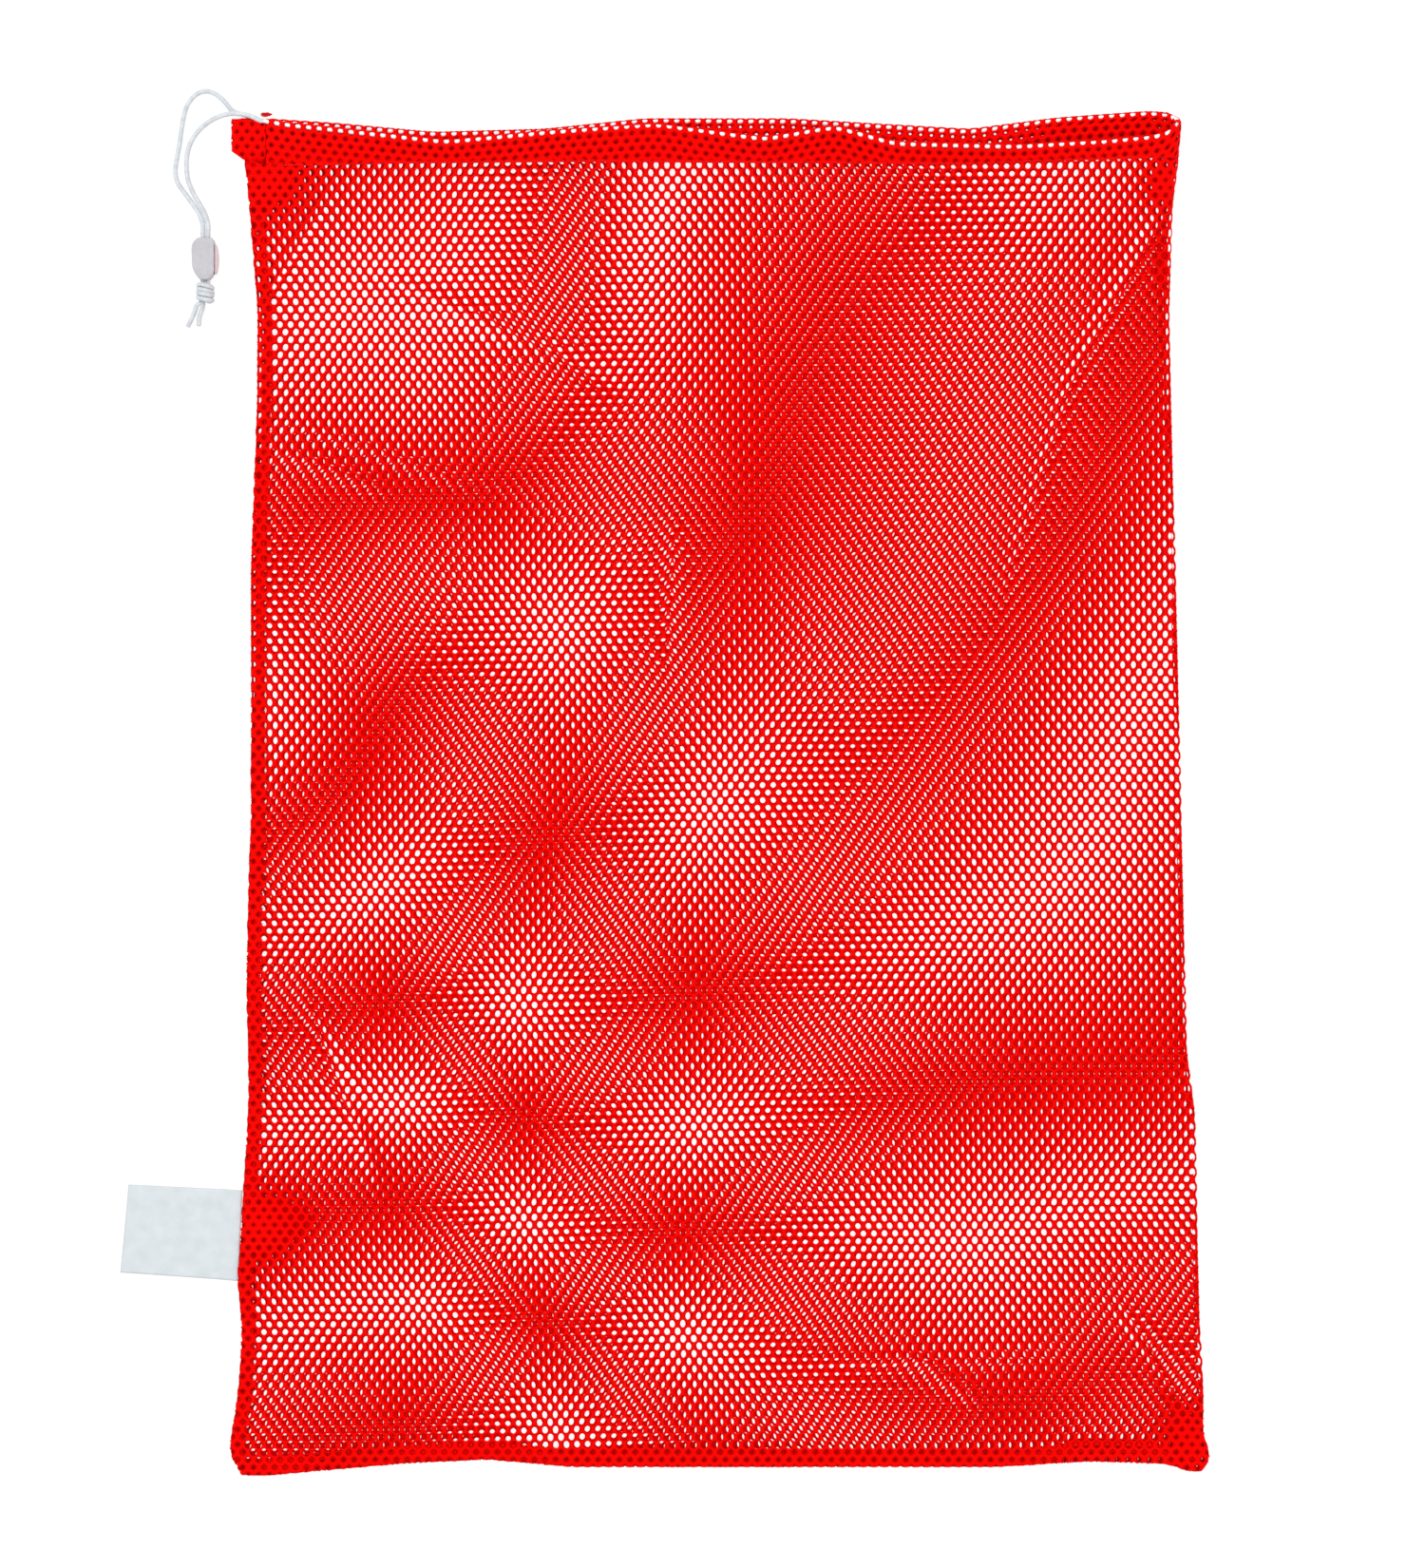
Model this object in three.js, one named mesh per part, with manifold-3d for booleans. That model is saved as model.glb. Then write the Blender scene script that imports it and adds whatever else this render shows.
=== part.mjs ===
// Mesh laundry bag, lying flat on its back: a folded cloth pouch with a drawcord hem,
// a sprung cord lock, a knot with two tails and a sewn-in label.
// Millimetres, +X to the fold side, +Y to the mouth, +Z up.
// The origin is on the underside, at the middle of the bag.

import * as THREE from 'three';
import { mergeVertices } from 'three/addons/utils/BufferGeometryUtils.js';
import Module from 'manifold-3d';

const wasm = await Module();
wasm.setup();

// ---------- driving dimensions ----------
const GAP = 0.3;
const WALL = 1.0;
const PAST_MOUTH = 5;
const EDGE_THICKNESS = 4.6;
const FULL_THICKNESS = 18;
const PUFF_RUN = 70;
const MOUTH_LEFT_RUN = 45;
const MOUTH_RIGHT_RUN = 9;
const MOUTH_BLEND = 250;
const BODY_TOP = 423.2;
const POUCH_COLUMNS = 16;
const POUCH_ROWS = 28;

const ALLOWANCE_INSET = 3;
const ALLOWANCE_WIDTH = 8;
const SIDE_STRIP_LOW = -437;
const SIDE_STRIP_BELOW_TOP = 3;
const CORNER_LEFT = -325;
const BOTTOM_STRIP_CLEARANCE = 6;
const BOTTOM_STRIP_RIGHT = 322;
const ALLOWANCE_LOW = WALL + GAP;
const ALLOWANCE_THICKNESS = 1.8;
const OVERLOCK_WIDTH = 1.8;

const HEM_LOW = 424.8;
const HEM_THICKNESS = 5.2;
const HEM_WALL = 0.7;
const HEM_LEFT = -300;
const TAB_LEFT = -323;
const HEM_TURN_X = 303;
const HEM_TURN_STEPS = 8;
const HEM_RUN_STEPS = 24;
const STITCH_SIZE = 0.8;
const STITCH_Y = (BODY_TOP + HEM_LOW) / 2;

const CORD_DIAMETER = 3.2;
const CORD_SIDES = 8;
const CORD_STEP = 2.5 * CORD_DIAMETER;
const CORD_BELOW_TOP = HEM_WALL + 0.7 + CORD_DIAMETER / 2;

const LOCK_X = -340;
const LOCK_Y = 356.3;
const LOCK_HEIGHT = 10;
const LOCK_LEFT = -8.8;
const LOCK_RIGHT = 6.4;
const LOCK_HALF_LENGTH = 14;
const LOCK_WALL = 0.9;
const TUNNEL_HALF_WIDTH = 3.7;
const TUNNEL_HALF_HEIGHT = 2;
const BUTTON_TRAVEL = 1.6;
const STEM_HALF_LENGTH = 3.9;
const STEM_HALF_HEIGHT = 3.1;
const STEM_LEFT = -4.6;
const HEAD_INNER = LOCK_RIGHT + GAP;
const HEAD_DEPTH = 2.1;
const HEAD_HALF_LENGTH = 9.6;
const HEAD_HALF_HEIGHT = 3.5;
const WINDOW_RIGHT = 5.5;
const SPRING_WIRE = 0.4;
const SPRING_DIAMETER = 4.6;
const SPRING_TURNS = 1.75;

const KNOT_Y = 333.5;
const KNOT_HALF_LENGTH = 8.1;
const KNOT_RADIUS = 6.6;

const LABEL_THICKNESS = 0.5;
const LABEL_ROOT = [[-319.6, -325.6], [-315.7, -265]];
const LABEL_FREE = [[-397.3, -320], [-391.6, -261]];
const LABEL_ROOT_Z = 2;
const LABEL_SLOPE = 14;

// ---------- the cloth's outline, as [along, across] pairs ----------
const LEFT_EDGE = [
  [-456, -322], [-443, -325], [-396, -318.3], [-359, -316.4], [-325, -319], [-262, -315], [-200, -311.5],
  [-120, -313.3], [-10, -310.2], [150, -310.2], [263, -306], [324, -305.8], [395, -311.5], [425, -314.6],
];
const RIGHT_EDGE = [
  [-456, 329], [-448, 331], [-398, 326.6], [-352, 324], [-294, 322.6], [-214, 321], [-173, 315.6],
  [-136, 314.6], [149, 308], [217, 306], [321, 303.6], [393, 305.8], [425, 310],
];
const BOTTOM_EDGE = [
  [-325, -455], [-302, -456], [-212, -448], [-152, -445], [-97, -450], [189, -450], [250, -446.4],
  [303, -448], [320, -454], [331, -451],
];
const BACK_HEM_TOP = [
  [-300, 451], [-253, 448], [-188, 442], [-115, 444], [-47, 451], [50, 451], [170, 444], [228, 451.5],
  [291, 456], [313, 454],
];
const FRONT_HEM_TOP = [
  [-300, 451], [-285, 448.5], [-269, 447], [-180, 437], [-110, 443.5], [-39, 448], [34, 439], [80, 447],
  [120, 436], [203, 434], [261, 437], [300, 441], [313, 450],
];

// ---------- cord routes, from the hem's end to the knot ----------
const BACK_STRAND = [
  [-300.4, 448, 2.6], [-303, 448.3, 2.6], [-307.5, 450.6, 2.4], [-314, 453, 2], [-321.8, 455.6, 1.7],
  [-327, 461.4, 1.7], [-332.8, 466.6, 1.7], [-339.7, 469, 1.7], [-347, 466.4, 1.7], [-353, 458.5, 1.7],
  [-355.8, 447, 1.7],
  [-357.6, 434, 1.7], [-359.8, 422, 1.7], [-360.4, 414, 1.7], [-358.6, 407.4, 1.7], [-354.2, 401, 1.8],
  [-349.2, 394.2, 2.3], [-344.6, 387.2, 3.6], [-341.9, 380, 4.8], [-341.75, 372, 5], [-341.75, 357, 5],
  [-341.75, 341.95, 5],
];
const FRONT_STRAND = [
  [-300.4, 448, 8.4], [-303, 448.3, 8.4], [-307.5, 450.6, 8.1], [-314, 452.6, 7.4], [-322, 453.4, 6.3],
  [-331, 451.6, 4.4], [-339.6, 447.2, 2.7], [-347, 440, 1.8], [-351.6, 431, 1.7], [-353, 421, 1.7],
  [-352.2, 411, 1.8],
  [-349.4, 403, 2.4], [-345, 395, 3.6], [-340.7, 387.4, 4.7], [-338.3, 380, 5], [-338.25, 372, 5],
  [-338.25, 357, 5], [-338.25, 341.95, 5],
];
const FRONT_TAIL = [
  [-346, 326, 3.4], [-347.8, 321, 2.4], [-349.8, 316.6, 1.8], [-352, 312, 1.7],
];
const BACK_TAIL = [
  [-342, 324, 3.4], [-343.6, 320, 2.4], [-344.5, 316.4, 1.8], [-344.8, 312.6, 1.7],
];

// ---------- materials ----------
const cloth = () => new THREE.MeshStandardMaterial({ color: 0xe8060a, roughness: 0.72, metalness: 0 });
const thread = () => new THREE.MeshStandardMaterial({ color: 0xc80408, roughness: 0.65, metalness: 0 });
const elastic = () => new THREE.MeshStandardMaterial({ color: 0xdfe4e8, roughness: 0.8, metalness: 0 });
const plastic = () => new THREE.MeshStandardMaterial({ color: 0xd6d3d8, roughness: 0.42, metalness: 0 });
const steel = () => new THREE.MeshStandardMaterial({ color: 0x9a9ca0, roughness: 0.3, metalness: 1 });
const labelCloth = () => new THREE.MeshStandardMaterial({ color: 0xdce2e4, roughness: 0.85, metalness: 0 });

// ---------- shared helpers ----------
const mix = THREE.MathUtils.lerp;
const smoothstep = THREE.MathUtils.smoothstep;

// Straight-line reading of a list of [position, value] pairs.
function along(pairs, position) {
  const last = pairs.length - 1;
  const next = pairs.findIndex(([p]) => p > position);
  const i = next < 0 ? last : Math.max(next, 1);
  const [p0, v0] = pairs[i - 1];
  const [p1, v1] = pairs[i];
  return mix(v0, v1, THREE.MathUtils.clamp((position - p0) / (p1 - p0), 0, 1));
}

function toSolid(geometry) {
  const bare = geometry.clone();
  bare.deleteAttribute('normal');
  bare.deleteAttribute('uv');
  const merged = mergeVertices(bare, 1e-4);
  return new wasm.Manifold(new wasm.Mesh({
    numProp: 3,
    vertProperties: new Float32Array(merged.attributes.position.array),
    triVerts: new Uint32Array(merged.index.array),
  }));
}

function toGeometry(solid) {
  const { vertProperties, triVerts } = solid.getMesh();
  const geometry = new THREE.BufferGeometry();
  geometry.setAttribute('position', new THREE.BufferAttribute(new Float32Array(vertProperties), 3));
  geometry.setIndex(new THREE.BufferAttribute(new Uint32Array(triVerts), 1));
  geometry.computeVertexNormals();
  return geometry;
}

function cut(geometry, ...tools) {
  return toGeometry(tools.reduce((solid, tool) => solid.subtract(toSolid(tool)), toSolid(geometry)));
}

// A closed solid through rings of equal length, each ring closed on itself; the ends are fans.
function loft(rings) {
  const count = rings[0].length;
  const last = (rings.length - 1) * count;
  const index = [];
  for (let r = 0; r < last; r += count) {
    for (let i = 0; i < count; i++) {
      const j = (i + 1) % count;
      index.push(r + i, r + j, r + count + i, r + j, r + count + j, r + count + i);
    }
  }
  for (let i = 1; i < count - 1; i++) {
    index.push(0, i + 1, i, last, last + i, last + i + 1);
  }
  const geometry = new THREE.BufferGeometry().setFromPoints(rings.flat());
  geometry.setIndex(index);
  return facingOut(geometry);
}

// A sheet of varying thickness: low(u, v) and high(u, v) give its two faces, u and v from 0 to 1.
function slab(low, high, stepsU, stepsV) {
  const across = stepsU + 1;
  const face = across * (stepsV + 1);
  const points = [low, high].flatMap((side) => Array.from({ length: face }, (_, i) => (
    side((i % across) / stepsU, Math.floor(i / across) / stepsV))));
  const at = (u, v) => v * across + u;
  const index = [];
  const quad = (a, b, c, d) => index.push(a, b, c, a, c, d);
  for (let v = 0; v < stepsV; v++) {
    for (let u = 0; u < stepsU; u++) {
      quad(at(u, v), at(u, v + 1), at(u + 1, v + 1), at(u + 1, v));
      quad(...[at(u, v), at(u + 1, v), at(u + 1, v + 1), at(u, v + 1)].map((i) => i + face));
    }
  }
  const wall = (a, b) => quad(a, b, b + face, a + face);
  for (let u = 0; u < stepsU; u++) {
    wall(at(u, 0), at(u + 1, 0));
    wall(at(u + 1, stepsV), at(u, stepsV));
  }
  for (let v = 0; v < stepsV; v++) {
    wall(at(0, v + 1), at(0, v));
    wall(at(stepsU, v), at(stepsU, v + 1));
  }
  const geometry = new THREE.BufferGeometry().setFromPoints(points);
  geometry.setIndex(index);
  return facingOut(geometry);
}

// Turns a closed mesh's faces outwards when its signed volume says that they face in.
function facingOut(geometry) {
  const position = geometry.attributes.position;
  const index = geometry.index.array;
  const [a, b, c] = [new THREE.Vector3(), new THREE.Vector3(), new THREE.Vector3()];
  let volume = 0;
  for (let i = 0; i < index.length; i += 3) {
    a.fromBufferAttribute(position, index[i]);
    b.fromBufferAttribute(position, index[i + 1]);
    c.fromBufferAttribute(position, index[i + 2]);
    volume += a.dot(b.cross(c));
  }
  if (volume < 0) {
    for (let i = 0; i < index.length; i += 3) {
      [index[i + 1], index[i + 2]] = [index[i + 2], index[i + 1]];
    }
  }
  geometry.computeVertexNormals();
  return geometry;
}

function block(x0, x1, y0, y1, z0, z1) {
  const geometry = new THREE.BoxGeometry(x1 - x0, y1 - y0, z1 - z0);
  return geometry.translate((x0 + x1) / 2, (y0 + y1) / 2, (z0 + z1) / 2);
}

function polygon(sides, radius) {
  return new THREE.Shape(Array.from({ length: sides }, (_, i) => new THREE.Vector2(
    radius * Math.cos((2 * Math.PI * i) / sides),
    radius * Math.sin((2 * Math.PI * i) / sides))));
}

function tube(curve, radius, sides, steps) {
  const options = { steps, extrudePath: curve, bevelEnabled: false };
  return new THREE.ExtrudeGeometry(polygon(sides, radius), options);
}

function cordTube(route) {
  const curve = new THREE.CatmullRomCurve3(route.map((p) => new THREE.Vector3(...p)));
  const steps = Math.ceil(curve.getLength() / CORD_STEP);
  return tube(curve, CORD_DIAMETER / 2, CORD_SIDES, steps);
}

const parts = new THREE.Group();

function add(name, geometry, material, group = parts) {
  const mesh = new THREE.Mesh(geometry, material);
  mesh.name = name;
  group.add(mesh);
}

// ---------- the folded mesh cloth ----------
const leftAt = (y) => along(LEFT_EDGE, y);
const rightAt = (y) => along(RIGHT_EDGE, y);
const bottomAt = (x) => along(BOTTOM_EDGE, x);
const rounded = (distance, run) => Math.sin((Math.PI / 2) * THREE.MathUtils.clamp(distance / run, 0, 1));

// How high the front layer lies: thin at the seams and the fold, full in the middle and at the mouth.
function heightAt(x, y) {
  const towardsMouth = smoothstep(y, BODY_TOP - MOUTH_BLEND, BODY_TOP);
  const left = rounded(x - leftAt(y), mix(PUFF_RUN, MOUTH_LEFT_RUN, towardsMouth));
  const right = rounded(rightAt(y) - x, mix(PUFF_RUN, MOUTH_RIGHT_RUN, towardsMouth));
  const bottom = rounded(y - bottomAt(x), PUFF_RUN);
  return EDGE_THICKNESS + (FULL_THICKNESS - EDGE_THICKNESS) * left * right * bottom;
}

// A point of the pouch, u from seam to fold and v from the bottom seam to the mouth.
function pouchPoint(u, v, inset, top) {
  const across = spreadToEdges(u);
  const low = bottomAt(mix(leftAt(-Infinity), rightAt(-Infinity), across)) + inset;
  const y = mix(low, top, v);
  return new THREE.Vector2(mix(leftAt(y) + inset, rightAt(y) - inset, across), y);
}

// Puts more of the grid's columns near the two edges, where the height changes.
function spreadToEdges(u) {
  return (1 - Math.cos(Math.PI * u)) / 2;
}

function pouch(inset, top, zInset) {
  const face = (high) => (u, v) => {
    const { x, y } = pouchPoint(u, v, inset, top);
    return new THREE.Vector3(x, y, high ? heightAt(x, Math.min(y, BODY_TOP)) - zInset : zInset);
  };
  return slab(face(false), face(true), POUCH_COLUMNS, POUCH_ROWS);
}

function meshBody() {
  return cut(pouch(0, BODY_TOP, 0), pouch(WALL, BODY_TOP + PAST_MOUTH, WALL));
}

// A flat strip inside the pouch, beside the side seam or the bottom seam.
function sideStrip(from, to, y0, y1) {
  const point = (u, v, z) => {
    const y = mix(y0, y1, v);
    return new THREE.Vector3(leftAt(y) + mix(from, to, u), y, z);
  };
  const low = (u, v) => point(u, v, ALLOWANCE_LOW);
  const high = (u, v) => point(u, v, ALLOWANCE_LOW + ALLOWANCE_THICKNESS);
  return slab(low, high, 1, 24);
}

function bottomStrip(from, to, x0, x1) {
  const point = (u, v, z) => {
    const x = mix(x0, x1, u);
    return new THREE.Vector3(x, bottomAt(x) + mix(from, to, v), z);
  };
  const low = (u, v) => point(u, v, ALLOWANCE_LOW);
  const high = (u, v) => point(u, v, ALLOWANCE_LOW + ALLOWANCE_THICKNESS);
  return slab(low, high, 24, 1);
}

// ---------- the hem, a flat tunnel that runs round the mouth ----------
// Each station holds a point of the band's middle, the band's outward direction and its top.
function hemStations() {
  const stations = [];
  const middle = FULL_THICKNESS / 2;
  const turn = middle - HEM_THICKNESS / 2;
  for (let i = 0; i < HEM_RUN_STEPS; i++) {
    const x = mix(HEM_LEFT, HEM_TURN_X, i / HEM_RUN_STEPS);
    const rise = rounded(x - leftAt(BODY_TOP), MOUTH_LEFT_RUN);
    const z = mix(EDGE_THICKNESS, FULL_THICKNESS, rise) - HEM_THICKNESS / 2;
    stations.push({ x, z, nx: 0, nz: 1, top: along(FRONT_HEM_TOP, x) });
  }
  for (let i = 0; i <= HEM_TURN_STEPS; i++) {
    const angle = Math.PI * (0.5 - i / HEM_TURN_STEPS);
    const x = HEM_TURN_X + turn * Math.cos(angle);
    const top = mix(along(FRONT_HEM_TOP, x), along(BACK_HEM_TOP, x), i / HEM_TURN_STEPS);
    const z = middle + turn * Math.sin(angle);
    stations.push({ x, z, nx: Math.cos(angle), nz: Math.sin(angle), top });
  }
  for (let i = HEM_RUN_STEPS - 1; i >= 0; i--) {
    const x = mix(HEM_LEFT, HEM_TURN_X, i / HEM_RUN_STEPS);
    stations.push({ x, z: HEM_THICKNESS / 2, nx: 0, nz: -1, top: along(BACK_HEM_TOP, x) });
  }
  return stations;
}

// Sweeps a section, given as [outward, y] pairs, through the stations.
function sweep(stations, section) {
  return loft(stations.map((s) => section(s).map(([out, y]) => (
    new THREE.Vector3(s.x + s.nx * out, y, s.z + s.nz * out)))));
}

const stretched = (stations, by) => stations.map((s, i) => (
  i === 0 || i === stations.length - 1 ? { ...s, x: s.x - by } : s));

const band = (halfThickness, low, below) => (s) => [
  [-halfThickness, low], [halfThickness, low],
  [halfThickness, s.top - below], [-halfThickness, s.top - below],
];

function hemCasing(stations) {
  const outside = sweep(stations, band(HEM_THICKNESS / 2, HEM_LOW, 0));
  const tunnel = band(HEM_THICKNESS / 2 - HEM_WALL, HEM_LOW + HEM_WALL, HEM_WALL);
  return cut(outside, sweep(stretched(stations, 1), tunnel));
}

function hiddenCord(stations) {
  const radius = CORD_DIAMETER / 2;
  return sweep(stations, (s) => Array.from({ length: CORD_SIDES }, (_, i) => {
    const angle = (2 * Math.PI * (i + 0.5)) / CORD_SIDES;
    return [radius * Math.cos(angle), s.top - CORD_BELOW_TOP + radius * Math.sin(angle)];
  }));
}

// A line of sewing along one side of the mouth, in the gap between the pouch and the hem.
function hemStitch(stations) {
  const half = STITCH_SIZE / 2;
  const out = HEM_THICKNESS / 2 - 1;
  return sweep(stations, () => [
    [out - half, STITCH_Y - half], [out + half, STITCH_Y - half],
    [out + half, STITCH_Y + half], [out - half, STITCH_Y + half],
  ]);
}

// The cloth's folded end beside the hem, at the side seam.
function cornerTab() {
  const tabRight = HEM_LEFT - GAP;
  const lowEdge = [[TAB_LEFT, 430], [-314.6, 425], [tabRight, HEM_LOW]];
  const highEdge = [[TAB_LEFT, 450], [-313, 450], [-304, 446], [tabRight, 445]];
  const thickness = [[TAB_LEFT, 5], [-312, 7], [tabRight, 10.6]];
  const point = (u, v, high) => {
    const x = mix(TAB_LEFT, tabRight, u);
    const y = mix(along(lowEdge, x), along(highEdge, x), v);
    return new THREE.Vector3(x, y, high ? along(thickness, x) : 0);
  };
  return slab((u, v) => point(u, v, false), (u, v) => point(u, v, true), 8, 1);
}

// ---------- the cord lock, in its own frame: cords along Y, button pressed along -X ----------
function lockOutline() {
  const shape = new THREE.Shape();
  shape.moveTo(-2.6, -LOCK_HALF_LENGTH);
  shape.lineTo(2.2, -LOCK_HALF_LENGTH);
  shape.quadraticCurveTo(LOCK_RIGHT, -10.6, LOCK_RIGHT, -8);
  shape.lineTo(LOCK_RIGHT, 9.5);
  shape.quadraticCurveTo(LOCK_RIGHT, 13, 4.4, LOCK_HALF_LENGTH);
  shape.lineTo(-4.4, LOCK_HALF_LENGTH);
  shape.quadraticCurveTo(LOCK_LEFT, 12, LOCK_LEFT, 6);
  shape.lineTo(-8.4, -4.5);
  shape.quadraticCurveTo(-7, -11, -2.6, -LOCK_HALF_LENGTH);
  return shape;
}

function lockBody() {
  const bevel = 0.8;
  const shell = new THREE.ExtrudeGeometry(lockOutline(), {
    depth: LOCK_HEIGHT - 2 * bevel, bevelThickness: bevel, bevelSize: bevel, bevelOffset: -bevel,
    bevelSegments: 2, curveSegments: 5,
  }).translate(0, 0, bevel - LOCK_HEIGHT / 2);
  const cavityLeft = LOCK_LEFT + LOCK_WALL;
  const cavity = block(cavityLeft, LOCK_RIGHT + 1, -STEM_HALF_LENGTH - GAP, STEM_HALF_LENGTH + GAP,
    -STEM_HALF_HEIGHT - GAP, STEM_HALF_HEIGHT + GAP);
  const recess = block(HEAD_INNER - BUTTON_TRAVEL - GAP, LOCK_RIGHT + 1, -HEAD_HALF_LENGTH - GAP,
    HEAD_HALF_LENGTH + GAP, -HEAD_HALF_HEIGHT - GAP, HEAD_HALF_HEIGHT + GAP);
  const tunnel = block(-TUNNEL_HALF_WIDTH, TUNNEL_HALF_WIDTH, -LOCK_HALF_LENGTH - 1, LOCK_HALF_LENGTH + 1,
    -TUNNEL_HALF_HEIGHT, TUNNEL_HALF_HEIGHT);
  return cut(shell, cavity, recess, tunnel);
}

function lockButton() {
  const outline = new THREE.Shape();
  outline.moveTo(HEAD_INNER, -HEAD_HALF_LENGTH);
  outline.lineTo(HEAD_INNER + 0.8, -HEAD_HALF_LENGTH);
  outline.quadraticCurveTo(HEAD_INNER + 2 * HEAD_DEPTH - 0.8, 0, HEAD_INNER + 0.8, HEAD_HALF_LENGTH);
  outline.lineTo(HEAD_INNER, HEAD_HALF_LENGTH);
  const head = new THREE.ExtrudeGeometry(outline, {
    depth: 2 * HEAD_HALF_HEIGHT, bevelEnabled: false, curveSegments: 8,
  }).translate(0, 0, -HEAD_HALF_HEIGHT);
  const stem = block(STEM_LEFT, HEAD_INNER + 0.5, -STEM_HALF_LENGTH, STEM_HALF_LENGTH,
    -STEM_HALF_HEIGHT, STEM_HALF_HEIGHT);
  const window = block(-TUNNEL_HALF_WIDTH, WINDOW_RIGHT, -STEM_HALF_LENGTH - 1, STEM_HALF_LENGTH + 1,
    -TUNNEL_HALF_HEIGHT, TUNNEL_HALF_HEIGHT);
  return toGeometry(toSolid(head).add(toSolid(stem)).subtract(toSolid(window)));
}

class Helix extends THREE.Curve {
  constructor(radius, turns, start, length) {
    super();
    Object.assign(this, { radius, turns, start, length });
  }

  getPoint(t, target = new THREE.Vector3()) {
    const angle = 2 * Math.PI * this.turns * t;
    const x = this.start + this.length * t;
    return target.set(x, this.radius * Math.cos(angle), this.radius * Math.sin(angle));
  }
}

function lockSpring() {
  const start = LOCK_LEFT + LOCK_WALL + GAP + SPRING_WIRE / 2;
  const end = STEM_LEFT - GAP - SPRING_WIRE / 2;
  const radius = (SPRING_DIAMETER - SPRING_WIRE) / 2;
  return tube(new Helix(radius, SPRING_TURNS, start, end - start), SPRING_WIRE / 2, 6, 28);
}

// ---------- the knot ----------
function cordKnot() {
  const profile = [
    [0, -1], [0.55, -1], [0.9, -0.7], [1, -0.3], [0.86, 0], [1, 0.35], [0.88, 0.75], [0.62, 1], [0, 1],
  ].map(([r, y]) => new THREE.Vector2(r * KNOT_RADIUS, y * KNOT_HALF_LENGTH));
  const barrel = new THREE.LatheGeometry(profile, 12);
  barrel.scale(1, 1, LOCK_HEIGHT / 2 / KNOT_RADIUS);
  return toGeometry(toSolid(barrel)).translate(LOCK_X, KNOT_Y, LOCK_HEIGHT / 2);
}

// ---------- the label, sewn into the side seam near the bottom ----------
function idLabel() {
  const root = LABEL_ROOT.map((p) => new THREE.Vector2(...p));
  const free = LABEL_FREE.map((p) => new THREE.Vector2(...p));
  const point = (u, v, high) => {
    const seam = root[0].clone().lerp(root[1], v);
    const { x, y } = seam.clone().lerp(free[0].clone().lerp(free[1], v), u);
    const rise = 1 - smoothstep(Math.hypot(x - seam.x, y - seam.y), 0, LABEL_SLOPE);
    return new THREE.Vector3(x, y, LABEL_ROOT_Z * rise + (high ? LABEL_THICKNESS : 0));
  };
  return slab((u, v) => point(u ** 2, v, false), (u, v) => point(u ** 2, v, true), 10, 4);
}

// ---------- assembly ----------
const stations = hemStations();
const turnEnd = HEM_RUN_STEPS + HEM_TURN_STEPS;

add('mesh_body', meshBody(), cloth());
add('hem_casing', hemCasing(stations), cloth());
add('corner_tab', cornerTab(), cloth());

const allowanceEdge = ALLOWANCE_INSET + ALLOWANCE_WIDTH;
const overlockEdge = allowanceEdge + GAP + OVERLOCK_WIDTH;
const sideHigh = BODY_TOP - SIDE_STRIP_BELOW_TOP;
const bottomLeft = CORNER_LEFT + overlockEdge + BOTTOM_STRIP_CLEARANCE;
add('side_seam_allowance', sideStrip(ALLOWANCE_INSET, allowanceEdge, SIDE_STRIP_LOW, sideHigh), cloth());
add('side_overlock_thread', sideStrip(allowanceEdge + GAP, overlockEdge, SIDE_STRIP_LOW, sideHigh), thread());
add('bottom_seam_allowance', bottomStrip(
  ALLOWANCE_INSET, allowanceEdge, bottomLeft, BOTTOM_STRIP_RIGHT), cloth());
add('bottom_overlock_thread', bottomStrip(
  allowanceEdge + GAP, overlockEdge, bottomLeft, BOTTOM_STRIP_RIGHT), thread());

add('front_hem_stitch', hemStitch(stations.slice(0, HEM_RUN_STEPS)), thread());
add('back_hem_stitch', hemStitch(stations.slice(turnEnd + 1)), thread());

add('drawcord_in_hem', hiddenCord(stations), elastic());
add('drawcord_front_strand', cordTube(FRONT_STRAND), elastic());
add('drawcord_back_strand', cordTube(BACK_STRAND), elastic());
add('cord_knot', cordKnot(), elastic());
add('cord_tail_front', cordTube(FRONT_TAIL), elastic());
add('cord_tail_back', cordTube(BACK_TAIL), elastic());

const lock = new THREE.Group();
lock.position.set(LOCK_X, LOCK_Y, LOCK_HEIGHT / 2);
add('lock_body', lockBody(), plastic(), lock);
add('lock_button', lockButton(), plastic(), lock);
add('lock_spring', lockSpring(), steel(), lock);
parts.add(lock);

add('id_label', idLabel(), labelCloth());

export default parts;
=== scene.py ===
"""Looks of the mesh laundry bag, lying flat on its back on a pale floor and seen from straight above.

Every shape is worked out in millimetres and turned into metres when its mesh is made.
The bag's two layers are the same knitted mesh: a staggered lattice of holes with ridged strands between them.
"""
import math

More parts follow.
